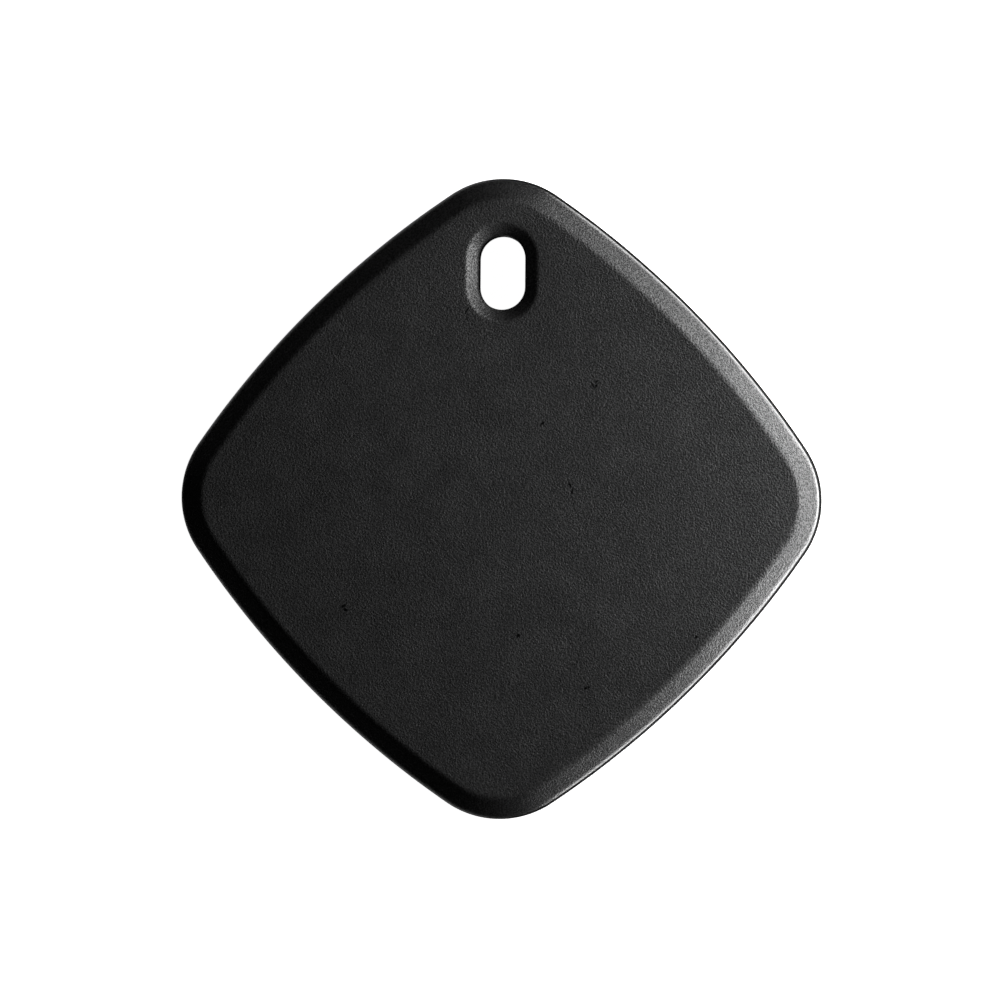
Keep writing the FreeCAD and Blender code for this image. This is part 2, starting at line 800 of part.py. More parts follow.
def make_button():
    """A dished cap held by its flange, and the silicone membrane over it whose pip works the switch."""
    flange_bottom = "(rear_wall + button_gap)"
    flange_top = f"({flange_bottom} + flange_thick)"
    turned(
        "button_cap",
        (
            ("0", "button_recess + dish_depth"),
            ("dish_radius", "button_recess"),
            ("button_radius - button_rim", "button_recess"),
            ("button_radius", "button_recess + button_rim"),
            ("button_radius", flange_bottom),
            ("flange_radius", flange_bottom),
            ("flange_radius", flange_top),
            ("0", flange_top),
        ),
        y="button_middle",
    )
    web_top = f"({flange_top} + membrane_web)"
    turned(
        "button_membrane",
        (
            ("0", flange_top),
            ("flange_radius + 2 * button_gap", flange_top),
            ("flange_radius + 2 * button_gap", "rear_wall"),
            ("membrane_radius", "rear_wall"),
            ("membrane_radius", web_top),
            ("pip_radius", web_top),
            ("pip_radius", "actuator_end"),
            ("0", "actuator_end"),
        ),
        y="button_middle",
    )


def make_switch():
    """A low tactile switch under the board: housing, snap dome, cover plate and actuator."""
    deep = "(board_bottom - switch_roof)"
    low = "(switch_bottom - switch_plate_thick)"
    high = "board_bottom - switch_bottom"
    block = box("switch_block", "0", "button_middle", "switch_bottom", "switch_side", "switch_side", high)
    hollow_rise = f"{deep} - switch_bottom"
    hollow = rod("switch_hollow", "0", "button_middle", "switch_bottom", "switch_cavity", hollow_rise)
    keep("switch_housing", cut("switch_housing", block, hollow))
    crown = "(switch_bottom + dome_rise)"
    turned(
        "switch_dome",
        (
            ("0", f"{crown} - dome_sheet"),
            ("dome_crown", crown),
            ("dome_radius", f"{deep} - dome_sheet"),
            ("dome_radius", deep),
            ("dome_crown", f"{crown} + dome_sheet"),
            ("0", crown),
        ),
        y="button_middle",
    )
    plate = box("switch_plate", "0", "button_middle", low, "switch_side", "switch_side", "switch_plate_thick")
    hole = "actuator_radius + button_gap"
    opening = rod("switch_opening", "0", "button_middle", low, hole, "switch_plate_thick")
    keep("switch_cover", cut("switch_cover", plate, opening))
    collar_bottom = "(switch_bottom + collar_gap)"
    collar_top = f"({collar_bottom} + collar_thick)"
    turned(
        "switch_actuator",
        (
            ("0", "actuator_end"),
            ("actuator_radius", "actuator_end"),
            ("actuator_radius", collar_bottom),
            ("collar_radius", collar_bottom),
            ("collar_radius", collar_top),
            ("0", collar_top),
        ),
        y="button_middle",
    )


make_rear_case()
make_front_cover()
make_snap_hooks()
make_perimeter_seal()
make_battery_pad()
make_coin_cell()
make_circuit_board()
make_board_screws()
make_battery_cradle()
make_contacts()
make_components()
make_sounder()
make_button()
make_switch()

doc.recompute()
faults = [thing.Name for thing in doc.Objects if {"Invalid", "Error"} & set(thing.State)]
for node in nodes:
    if node.Shape.isNull() or not node.Shape.isValid() or not node.Shape.Solids:
        faults.append(node.Label)
if faults:
    raise RuntimeError(f"failed objects: {faults}")

os.makedirs("parts", exist_ok=True)
for node in nodes:
    node.Shape.exportStep(f"parts/{node.Label}.step")
    print(f"{node.Label}: {len(node.Shape.Solids)} solids, {node.Shape.Volume:.2f} mm3")
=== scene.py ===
import json
import random
from math import atan2, cos, hypot, pi, radians, sin, sqrt

import bmesh
import bpy
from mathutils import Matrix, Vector


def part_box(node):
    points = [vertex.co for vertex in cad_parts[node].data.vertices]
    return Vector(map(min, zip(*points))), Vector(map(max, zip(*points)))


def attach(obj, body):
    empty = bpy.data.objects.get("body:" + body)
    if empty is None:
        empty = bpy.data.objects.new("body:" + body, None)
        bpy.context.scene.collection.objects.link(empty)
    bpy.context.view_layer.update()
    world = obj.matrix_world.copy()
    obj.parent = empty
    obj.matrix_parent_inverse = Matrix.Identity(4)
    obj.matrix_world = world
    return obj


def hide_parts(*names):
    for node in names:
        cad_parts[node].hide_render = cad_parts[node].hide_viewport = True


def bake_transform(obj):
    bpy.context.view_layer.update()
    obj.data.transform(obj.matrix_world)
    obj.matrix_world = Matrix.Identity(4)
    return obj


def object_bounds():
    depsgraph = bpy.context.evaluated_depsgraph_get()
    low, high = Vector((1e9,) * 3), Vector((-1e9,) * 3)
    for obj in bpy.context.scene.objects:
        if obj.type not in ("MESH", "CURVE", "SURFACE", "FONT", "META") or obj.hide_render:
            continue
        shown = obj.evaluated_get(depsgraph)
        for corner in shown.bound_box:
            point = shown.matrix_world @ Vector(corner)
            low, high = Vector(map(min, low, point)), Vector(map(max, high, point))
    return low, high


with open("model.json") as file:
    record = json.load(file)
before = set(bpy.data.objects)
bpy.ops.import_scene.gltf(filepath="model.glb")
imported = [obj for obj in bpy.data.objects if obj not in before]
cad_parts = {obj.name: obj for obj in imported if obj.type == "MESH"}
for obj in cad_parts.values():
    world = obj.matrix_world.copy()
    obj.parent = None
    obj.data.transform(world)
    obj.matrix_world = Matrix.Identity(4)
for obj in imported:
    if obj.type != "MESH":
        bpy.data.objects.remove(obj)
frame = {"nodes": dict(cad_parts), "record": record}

CAD_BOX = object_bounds()
MM = 0.001


def mm(*sizes):
    """Millimetres as metres."""
    return tuple(size * MM for size in sizes)


# The tag's outline, as in the CAD: corner arcs centred on the X and Y axes, joined by long side arcs.
CORNER_REACH, CORNER_RADIUS, SIDE_RADIUS = mm(16.47, 6.8, 68.5)
CORNER_STEPS, SIDE_STEPS = 26, 30

# Heights and insets of the two shells.
TOP = CAD_BOX[1][2]
SEAM, SEAM_GAP, SEAL_TOP = mm(5.2, 0.05, 6.5)
COVER_INSET, CASE_DRAFT, WALL = mm(0.21, 0.16, 1.5)
REAR_WALL, REAR_ROLL = mm(1.2, 2.2)
CEILING = TOP - 1.4 * MM
LIP_INSET, LIP_TOP = mm(0.85, 6.1)
BEVEL_REACH, BEVEL_DROP, BEVEL_RIM, BEVEL_CREST = mm(1.40, 1.25, 0.38, 0.30)

# The key-ring slot.
SLOT_MIDDLE, SLOT_RADIUS, SLOT_STRAIGHT = mm(16.37, 1.675, 2.03)
SLOT_RIM, SLOT_RIM_EDGE = mm(0.85, 0.22)
SLEEVE_RADIUS = SLOT_RADIUS + 1.0 * MM

# Inside.
SCREW_PLACES = (mm(-18.4, 0.0), mm(6.6, 14.0), mm(9.2, -13.6))
REST_PLACES = (mm(-6.6, 14.0), mm(-9.2, -13.6), mm(18.6, 0.0))
PEG_PLACES = (mm(-7.6, 7.6), mm(7.6, 7.6), mm(9.3, -5.37))
SCREW_HOLE, PEG_HOLE = mm(0.8, 0.61)
BOARD_BOTTOM, BOARD_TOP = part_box("circuit_board")[0][2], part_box("circuit_board")[1][2]
BUTTON_MIDDLE, SOUNDER_MIDDLE = mm(-15.2, 1.0)

# Outer faces that meet at less than this are shaded as one curve.
SHARP_ANGLE = radians(32)
SLOT_OF = {part["node"]: part["material_slot"] for part in frame["record"]["subparts"]}
BODY_OF = {node: body for body, nodes in frame["record"]["behaviour"]["bodies"].items() for node in nodes}


# ---- outlines, as lists of (x, y)


def tag_outline(inset):
    """The tag's outline moved inwards: the arcs keep their centres and lose that much radius."""
    corner = CORNER_RADIUS - inset
    side = SIDE_RADIUS - inset
    shift = (sqrt(2 * (side - corner) ** 2 - CORNER_REACH**2) - CORNER_REACH) / 2
    lean = atan2(shift, CORNER_REACH + shift)
    arcs = (
        (CORNER_REACH, 0, corner, -lean, 2 * lean, CORNER_STEPS),
        (-shift, -shift, side, lean, pi / 2 - 2 * lean, SIDE_STEPS),
    )
    points = []
    for quarter in range(4):
        turn = quarter * pi / 2
        c, s = cos(turn), sin(turn)
        for x, y, radius, start, sweep, steps in arcs:
            for step in range(steps):
                angle = start + sweep * step / steps
                along, across = x + radius * cos(angle), y + radius * sin(angle)
                points.append((along * c - across * s, along * s + across * c))
    return points


def slot_outline(radius, steps=24):
    points = []
    for side in (1, -1):
        middle = SLOT_MIDDLE + side * SLOT_STRAIGHT / 2
        for step in range(steps + 1):
            angle = pi * step / steps + (0 if side > 0 else pi)
            points.append((radius * cos(angle), middle + radius * sin(angle)))
    return points


def circle(x, y, radius, steps=48):
    angles = [2 * pi * step / steps for step in range(steps)]
    return [(x + radius * cos(a), y + radius * sin(a)) for a in angles]


def circles_at(x, y, steps):
    """An outline function for skin: circles round one middle."""
    return lambda radius: circle(x, y, radius, steps)


def strip_outline(path, width):
    """The outline of a flat strip that follows a path of (x, y) points, mitred at its corners."""
    points = [Vector(point) for point in path]
    left, right = [], []
    for index, here in enumerate(points):
        ways = []
        if index:
            ways.append((here - points[index - 1]).normalized())
        if index < len(points) - 1:
            ways.append((points[index + 1] - here).normalized())
        way = sum(ways, Vector((0, 0))).normalized()
        side = Vector((-way.y, way.x)) * (width / 2 / max(way.dot(ways[0]), 0.3))
        left.append(tuple(here + side))
        right.append(tuple(here - side))
    return left + right[::-1]


# ---- profiles, as lists of (size, height)


def rolled_edge(inset, low, reach, rise, steps=16):
    """(inset, height) points from a side wall up and over onto a flat face."""
    angles = [step / steps * pi / 2 for step in range(steps + 1)]
    return [(inset + reach * (1 - cos(a)), low + rise * sin(a)) for a in angles]


def rolled_foot(inset, reach, steps=16):
    """The same edge upside down, from a side wall's height of reach down onto a flat face at 0."""
    return [(size, reach - height) for size, height in rolled_edge(inset, 0, reach, reach, steps)]


def soften(points, radius, steps=3):
    """Rounds every corner of a run of points with a short curve; radius may be one size for each point."""
    sizes = radius if isinstance(radius, tuple) else (radius,) * len(points)
    made = [tuple(points[0])]
    for before, here, after, size in zip(points, points[1:], points[2:], sizes[1:]):
        before, here, after = Vector(before), Vector(here), Vector(after)
        start = here + (before - here).normalized() * min(size, 0.45 * (before - here).length)
        end = here + (after - here).normalized() * min(size, 0.45 * (after - here).length)
        for step in range(steps + 1):
            along = step / steps
            made.append(tuple((1 - along) ** 2 * start + 2 * along * (1 - along) * here + along**2 * end))
    return [*made, tuple(points[-1])]


# ---- mesh building


def add_ring(mesh, points, height):
    return [mesh.verts.new((x, y, height)) for x, y in points]


def next_pairs(ring):
    return zip(ring, ring[1:] + ring[:1])


def join_rings(mesh, first, second, material=0):
    for (a, b), (d, c) in zip(next_pairs(first), next_pairs(second)):
        mesh.faces.new((a, b, c, d)).material_index = material


def skin(mesh, outline, profile, first=None):
    """Rings of an outline function at each (size, height), joined one to the next. Returns the end rings."""
    rings = [add_ring(mesh, outline(size), height) for size, height in profile]
    if first:
        rings.insert(0, first)
    for low, high in zip(rings, rings[1:]):
        join_rings(mesh, low, high)
    return rings[0], rings[-1]


def fill_flat(mesh, *rings, material=0):
    """A flat sheet inside the first ring, with the other rings as its holes."""
    edges = [mesh.edges.get(pair) or mesh.edges.new(pair) for ring in rings for pair in next_pairs(ring)]
    made = bmesh.ops.triangle_fill(mesh, use_beauty=True, use_dissolve=False, edges=edges)
    for face in made["geom"]:
        if isinstance(face, bmesh.types.BMFace):
            face.material_index = material


def turned_ends(mesh, places, profile, steps):
    """A turned post or pocket at each (x, y) place, closed at its end. Returns the rings at their roots."""
    ends = [skin(mesh, circles_at(x, y, steps), profile) for x, y in places]
    for _, end in ends:
        fill_flat(mesh, end)
    return [root for root, _ in ends]


def lathe(mesh, profile, middle=(0.0, 0.0), steps=96, material=0):
    """A closed solid turned about the vertical through middle. Its (radius, height) points start and end on
    the axis or make a closed ring."""
    on_axis = 1e-7
    rings = []
    for radius, height in profile:
        outline = [middle] if radius < on_axis else circle(*middle, radius, steps)
        rings.append(add_ring(mesh, outline, height))
    if len(rings[0]) > 1:
        rings.append(rings[0])
    for low, high in zip(rings, rings[1:]):
        if len(low) == len(high):
            if len(low) > 1:
                join_rings(mesh, low, high, material)
            continue
        pole, ring = (low[0], high) if len(low) == 1 else (high[0], low)
        for start, end in next_pairs(ring):
            mesh.faces.new((pole, start, end)).material_index = material


def block(mesh, low, high, radius, material=0):
    """A box with rounded edges."""
    before = set(mesh.faces)
    low, high = Vector(low), Vector(high)
    corners = bmesh.ops.create_cube(mesh, size=1)["verts"]
    for corner in corners:
        corner.co = Vector((low[i] + (corner.co[i] + 0.5) * (high[i] - low[i]) for i in range(3)))
    edges = {edge for corner in corners for edge in corner.link_edges}
    bmesh.ops.bevel(mesh, geom=list(edges), offset=radius, segments=2, profile=0.5, affect="EDGES")
    for face in mesh.faces:
        if face not in before:
            face.material_index = material


def prism(mesh, points, low, high, material=0):
    """A closed solid with a flat outline of (x, y) points."""
    rings = [add_ring(mesh, points, height) for height in (low, high)]
    join_rings(mesh, *rings, material)
    for ring in rings:
        fill_flat(mesh, ring, material=material)


def add_object(name, data):
    made = bpy.data.objects.new(name, data)
    bpy.context.scene.collection.objects.link(made)
    return made


def end_mesh(name, mesh):
    """Turns a built mesh into an object in the scene."""
    data = bpy.data.meshes.new(name)
    mesh.to_mesh(data)
    mesh.free()
    return add_object(name, data)


def make_piece(name, mesh, node, *finishes, pushed=None):
    """A shown piece that stands for a CAD node and moves with its body unless pushed is given, in the finish
    of the node's slot or the named finishes by the faces' material index. With pushed given, the piece is not
    put on its body and its place is baked into its mesh; the pair of points in pushed is not used."""
    bmesh.ops.recalc_face_normals(mesh, faces=mesh.faces)
    for face in mesh.faces:
        face.smooth = True
    for edge in mesh.edges:
        edge.smooth = edge.calc_face_angle(0) < SHARP_ANGLE
    piece = end_mesh(name, mesh)
    for finish in finishes or (SLOT_OF[node],):
        piece.data.materials.append(LOOKS[finish])
    if pushed:
        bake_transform(piece)
    else:
        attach(piece, BODY_OF[node])
    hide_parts(node)
    return piece


def carve(piece, cutter_mesh):
    """Takes the cutter mesh's solids out of the piece."""
    bmesh.ops.recalc_face_normals(cutter_mesh, faces=cutter_mesh.faces)
    cutter = end_mesh("cutter", cutter_mesh)
    data = cutter.data
    modifier = piece.modifiers.new("carve", "BOOLEAN")
    modifier.object, modifier.operation, modifier.solver = cutter, "DIFFERENCE", "EXACT"
    bpy.context.view_layer.objects.active = piece
    with bpy.context.temp_override(object=piece, active_object=piece):
        bpy.ops.object.modifier_apply(modifier=modifier.name)
    bpy.data.objects.remove(cutter)
    bpy.data.meshes.remove(data)


def solids_of(node):
    """The box of each separate solid of a CAD node, as (low, high) corners."""
    mesh = bmesh.new()
    mesh.from_mesh(frame["nodes"][node].data)
    bmesh.ops.remove_doubles(mesh, verts=mesh.verts, dist=1e-6)
    left = set(mesh.verts)
    boxes = []
    while left:
        queue, places = [left.pop()], []
        while queue:
            vertex = queue.pop()
            places.append(vertex.co.copy())
            others = left.intersection(edge.other_vert(vertex) for edge in vertex.link_edges)
            left -= others
            queue += others
        boxes.append([Vector([end(p[i] for p in places) for i in range(3)]) for end in (min, max)])
    mesh.free()
    return sorted(boxes, key=lambda pair: tuple(pair[0]))


def middle_of(low, high):
    return (low.x + high.x) / 2, (low.y + high.y) / 2


def end_boxes(low, high, reach):
    """The boxes of a part's two ends, each with that much of its longer side."""
    along = 0 if high.x - low.x > high.y - low.y else 1
    near, far = high.copy(), low.copy()
    near[along], far[along] = low[along] + reach, high[along] - reach
    return (low, near), (far, high)


# ---- materials


def add_node(tree, kind, values=None, links=None, **settings):
    """Adds a shader node, sets its properties and input values, and links outputs into its inputs."""
    made = tree.nodes.new(f"ShaderNode{kind}")
    for name, value in settings.items():
        setattr(made, name, value)
    for name, value in (values or {}).items():
        made.inputs[name].default_value = value
    for name, output in (links or {}).items():
        tree.links.new(output, made.inputs[name])
    return made


def new_material(name, color, roughness, metallic=0.0, more=None):
    """A material and its node tree; more has the values of further inputs of its shader."""
    material = bpy.data.materials.new(name)
    material.use_nodes = True
    tree = material.node_tree
    values = {"Base Color": (*color, 1), "Roughness": roughness, "Metallic": metallic, **(more or {})}
    for key, value in values.items():
        tree.nodes["Principled BSDF"].inputs[key].default_value = value
    return material, tree


def feed(tree, key, output):
    """Links an output into an input of the tree's shader."""
    tree.links.new(output, tree.nodes["Principled BSDF"].inputs[key])


def object_place(tree):
    return add_node(tree, "TexCoord").outputs["Object"]


def map_place(tree, place, **values):
    """The place moved, turned or scaled."""
    return add_node(tree, "Mapping", values, {"Vector": place}).outputs[0]


def add_noise(tree, place, scale, detail=2.0):
    node = add_node(tree, "TexNoise", {"Scale": scale, "Detail": detail, "Roughness": 0.6}, {"Vector": place})
    return node.outputs["Fac"]


def add_cells(tree, place, scale):
    return add_node(tree, "TexVoronoi", {"Scale": scale}, {"Vector": place}).outputs["Distance"]


def spread(tree, value, low, high, from_low=0.3, from_high=0.7):
    """Maps a noise value onto a range."""
    values = {"From Min": from_low, "From Max": from_high, "To Min": low, "To Max": high}
    return add_node(tree, "MapRange", values, {"Value": value}).outputs["Result"]


def reckon(tree, operation, first, second, third=0.5):
    return add_node(tree, "Math", {2: third}, {0: first, 1: second}, operation=operation).outputs[0]


def vary_color(tree, value, dark, light):
    mix = add_node(tree, "Mix", None, None, data_type="RGBA")
    mix.inputs[6].default_value = (*dark, 1)
    mix.inputs[7].default_value = (*light, 1)
    tree.links.new(value, mix.inputs[0])
    feed(tree, "Base Color", mix.outputs[2])


def add_bump(tree, height, distance, edge=None):
    """Relief as deep as distance; edge is the radius that the piece's edges are softened to."""
    links = {"Height": height}
    if edge:
        links["Normal"] = add_node(tree, "Bevel", {"Radius": edge}, None, samples=4).outputs["Normal"]
    bump = add_node(tree, "Bump", {"Strength": 1.0, "Distance": distance}, links)
    feed(tree, "Normal", bump.outputs["Normal"])


# Plain finishes: dark colour, light colour and roughness, then, where it isn't the usual one, how metallic it
# is, the scale of its mottling, the depth of its grain and the radius that its edges are softened to.
PLAIN_LOOKS = {
    "hook_plastic": ((0.03, 0.03, 0.033), (0.06, 0.06, 0.066), 0.38),
    "button_plastic": ((0.035, 0.035, 0.037), (0.06, 0.06, 0.063), 0.42, 0, 5200),
    "cradle_plastic": ((0.66, 0.64, 0.58), (0.78, 0.77, 0.73), 0.45, 0, 420, 0.00001, 0.00012),
    "switch_plastic": ((0.04, 0.04, 0.04), (0.075, 0.075, 0.075), 0.5),
    "silicone": ((0.24, 0.25, 0.27), (0.33, 0.34, 0.36), 0.6, 0, 700),
    "seal_silicone": ((0.38, 0.075, 0.06), (0.50, 0.12, 0.09), 0.5, 0, 700),
    "copper_track": ((0.018, 0.13, 0.075), (0.03, 0.17, 0.10), 0.28, 0, 900),
    "board_fibre": ((0.42, 0.38, 0.22), (0.58, 0.54, 0.34), 0.75, 0, 2600),
    "tin": ((0.55, 0.55, 0.54), (0.74, 0.74, 0.72), 0.34, 1, 1800),
    "coil_copper": ((0.45, 0.18, 0.08), (0.72, 0.34, 0.18), 0.35, 1, 3000),
    "piezo_ceramic": ((0.70, 0.68, 0.62), (0.82, 0.81, 0.77), 0.6, 0, 1100),
    "adhesive": ((0.70, 0.67, 0.55), (0.83, 0.81, 0.72), 0.55, 0, 900),
    "chip_epoxy": ((0.025, 0.025, 0.028), (0.05, 0.05, 0.055), 0.55, 0, 3800),
    "ferrite": ((0.065, 0.065, 0.07), (0.12, 0.12, 0.13), 0.6, 0, 3600),
    "capacitor_ceramic": ((0.50, 0.38, 0.27), (0.66, 0.54, 0.42), 0.42),
    "resistor_film": ((0.02, 0.02, 0.022), (0.06, 0.06, 0.062), 0.3),
    "antenna_ceramic": ((0.78, 0.78, 0.75), (0.88, 0.88, 0.86), 0.4),
    "cathode_mix": ((0.04, 0.04, 0.04), (0.10, 0.10, 0.10), 0.85, 0, 2400, 0.00003),
    "lithium": ((0.55, 0.55, 0.56), (0.74, 0.74, 0.75), 0.4, 1, 600),
    "separator_fleece": ((0.78, 0.78, 0.75), (0.93, 0.93, 0.91), 0.9, 0, 2600),
    "cell_polymer": ((0.24, 0.24, 0.22), (0.34, 0.34, 0.31), 0.5),
}

# Metals: dark colour, light colour and roughness, then the middle of the turning marks, where it has those.
METAL_LOOKS = {
    "stainless_steel": ((0.50, 0.50, 0.48), (0.66, 0.66, 0.64), 0.26, (0, 0)),
    "screw_steel": ((0.40, 0.40, 0.40), (0.56, 0.56, 0.55), 0.3),
    "contact_nickel": ((0.58, 0.56, 0.50), (0.76, 0.74, 0.68), 0.24),
    "gold_strip": ((0.72, 0.53, 0.20), (0.88, 0.70, 0.34), 0.27),
    "brass": ((0.60, 0.44, 0.18), (0.78, 0.61, 0.31), 0.3, (0, SOUNDER_MIDDLE)),
    "silver_face": ((0.62, 0.61, 0.58), (0.80, 0.79, 0.76), 0.38),
    "crystal_can": ((0.58, 0.56, 0.50), (0.72, 0.70, 0.64), 0.25),
}


def simple_look(name, dark, light, roughness, metallic=0, scale=1500, grain=0.00001, edge=0.00004):
    """A material with mottled colour and roughness, fine grain and softened edges."""
    material, tree = new_material(name, light, roughness, metallic)
    place = object_place(tree)
    mottle = add_noise(tree, place, scale, 4.0)
    vary_color(tree, spread(tree, mottle, 0, 1), dark, light)
    feed(tree, "Roughness", spread(tree, mottle, roughness * 0.85, roughness * 1.2))
    add_bump(tree, add_noise(tree, place, scale * 4), grain, edge)
    return material


def brushed_look(name, dark, light, roughness, middle=None):
    """Metal with fine turning marks round the middle, or straight rolling marks."""
    material, tree = new_material(name, light, roughness, 1.0)
    place = object_place(tree)
    if middle:
        values = {"Scale": 2600.0, "Distortion": 2.5, "Detail": 3.0, "Detail Scale": 4.0}
        links = {"Vector": map_place(tree, place, Location=(-middle[0], -middle[1], 0))}
        rings = {"wave_type": "RINGS", "rings_direction": "Z"}
        marks = add_node(tree, "TexWave", values, links, **rings).outputs["Fac"]
    else:
        marks = add_noise(tree, map_place(tree, place, Scale=(1, 0.04, 1)), 9000, 3.0)
    stain = add_noise(tree, place, 260, 5.0)
    vary_color(tree, spread(tree, stain, 0, 1), dark, light)
    both = reckon(tree, "MULTIPLY_ADD", marks, stain, 0.35)
    feed(tree, "Roughness", spread(tree, both, roughness * 0.8, roughness * 1.4, 0.3, 1.0))
    add_bump(tree, marks, 0.0000006, 0.00005)
    return material


# Small knocks in the front face, each painted dark as shade: the middle (x, y), the half length, the half
# width and the turn of each.
NICKS = (
    (6.66, 8.23, 0.23, 0.065, -55),
    (6.89, 8.22, 0.2, 0.065, 63),
    (6.9, 8.52, 0.11, 0.07, 34),
    (3.03, 5.48, 0.16, 0.09, 38),
    (5.05, 1.06, 0.2, 0.08, -60),
    (5.22, 0.58, 0.22, 0.06, 85),
    (-11.22, -7.82, 0.19, 0.09, 38),
    (-11.11, -8.08, 0.15, 0.1, -40),
    (1.42, -9.85, 0.16, 0.11, 15),
    (14.26, -9.85, 0.13, 0.08, 40),
    (6.3, -13.63, 0.12, 0.09, 30),
    (6.5, -13.54, 0.09, 0.08, 60),
    (-2.5, 13.59, 0.3, 0.045, 62),
)


def nick_shade_mask(tree, place):
    """1 inside the nicks, where shade is painted, and 0 elsewhere."""
    inside = None
    for x, y, length, width, turn in NICKS:
        shift = add_node(tree, "Mapping", None, {"Vector": place}, vector_type="TEXTURE")
        shift.inputs["Location"].default_value = (x * MM, y * MM, TOP)
        shift.inputs["Rotation"].default_value = (0, 0, radians(turn))
        shift.inputs["Scale"].default_value = (length * MM, width * MM, MM)
        reach = add_node(tree, "VectorMath", None, {0: shift.outputs[0]}, operation="LENGTH").outputs["Value"]
        here = spread(tree, reach, 1, 0, 0.6, 1.3)
        inside = reckon(tree, "MAXIMUM", inside, here) if inside else here
    return inside


def case_plastic(name, shaded_nicks=False):
    """Black plastic moulded against a spark-eroded tool: fine sparkling grain and faint mottling. Where the
    nicks are asked for, painted shade darkens them and takes their gloss away.
    """
    material, tree = new_material(name, (0.02, 0.02, 0.021), 0.45)
    place = object_place(tree)
    grain = add_noise(tree, place, 8600)
    pits = add_cells(tree, place, 7000.0)
    gloss = spread(tree, pits, 0.16, 0.88, 0.2, 0.7)
    add_bump(tree, reckon(tree, "ADD", grain, pits), 0.000023)
    mottle = add_noise(tree, place, 420, 3.0)
    facing = add_node(tree, "LayerWeight", {"Blend": 0.5}).outputs["Facing"]
    polish = spread(tree, facing, 1.0, 0.75, 0.55, 0.9)
    feed(tree, "Roughness", reckon(tree, "MULTIPLY", spread(tree, mottle, 0.40, 0.50), polish))
    # painted shade: inside the nicks the colour drops to the darkest grain tone and the gloss to nothing
    if shaded_nicks:
        sound = spread(tree, nick_shade_mask(tree, place), 1, 0, 0, 1)
        gloss = reckon(tree, "MULTIPLY", gloss, sound)
        grain = reckon(tree, "MULTIPLY", grain, sound)
    vary_color(tree, spread(tree, grain, 0, 1), (0.003, 0.003, 0.0031), (0.036, 0.036, 0.0365))
    feed(tree, "Specular IOR Level", gloss)
    return material


def satin_shaded_band():
    """The rear case's side wall: the same black plastic, off a stoned tool face, with faint drawn lines, and
    its colour painted darker as shade along the wall.
    """
    dull = {"Specular IOR Level": 0.2}
    # painted shade: the wall's colour is set darker than the rest of the same plastic
    material, tree = new_material("satin_shaded_band", (0.009, 0.009, 0.0095), 0.22, more=dull)
    place = object_place(tree)
    lines = add_noise(tree, map_place(tree, place, Scale=(0.15, 0.15, 1)), 6000, 3.0)
    mottle = add_noise(tree, place, 420, 3.0)
    vary_color(tree, spread(tree, mottle, 0, 1), (0.007, 0.007, 0.0073), (0.012, 0.012, 0.0125))
    feed(tree, "Roughness", spread(tree, lines, 0.19, 0.27))
    add_bump(tree, lines, 0.000001)
    return material


def foam_look():
    """Open-cell foam: ragged pores painted dark as shade in a charcoal web."""
    material, tree = new_material("foam", (0.09, 0.09, 0.10), 0.95)
    cells = add_cells(tree, object_place(tree), 3200.0)
    # painted shade: the colour darkens towards each cell's middle, where the pores are
    vary_color(tree, spread(tree, cells, 0, 1, 0.1, 0.6), (0.015, 0.015, 0.017), (0.12, 0.12, 0.13))
    add_bump(tree, cells, 0.00012)
    return material


def mask_look():
    """Green solder mask: a satin film whose colour thickens in slow clouds, over the glass weave."""
    material, tree = new_material("solder_mask", (0.02, 0.10, 0.06), 0.32)
    place = object_place(tree)
    clouds = add_noise(tree, place, 180, 4.0)
    ways = ({"Vector": place}, {"Vector": map_place(tree, place, Rotation=(0, 0, pi / 2))})
    threads = {"Scale": 700.0, "Distortion": 0.6}
    along, across = (add_node(tree, "TexWave", threads, way).outputs["Fac"] for way in ways)
    vary_color(tree, spread(tree, clouds, 0, 1), (0.010, 0.060, 0.032), (0.020, 0.105, 0.062))
    feed(tree, "Roughness", spread(tree, clouds, 0.25, 0.40))
    add_bump(tree, reckon(tree, "MULTIPLY", along, across), 0.000006)
    return material


# Every finish by name: the record's slots, and the further finishes of some pieces.
LOOKS = {
    "case_plastic": case_plastic("case_plastic"),
    # the front face's plastic, with painted shade in its nicks
    "face_plastic": case_plastic("face_plastic", shaded_nicks=True),
    "satin_shaded_band": satin_shaded_band(),
    "foam": foam_look(),
    "solder_mask": mask_look(),
    **{name: simple_look(name, *values) for name, values in PLAIN_LOOKS.items()},
    **{name: brushed_look(name, *values) for name, values in METAL_LOOKS.items()},
}


# ---- the two shells


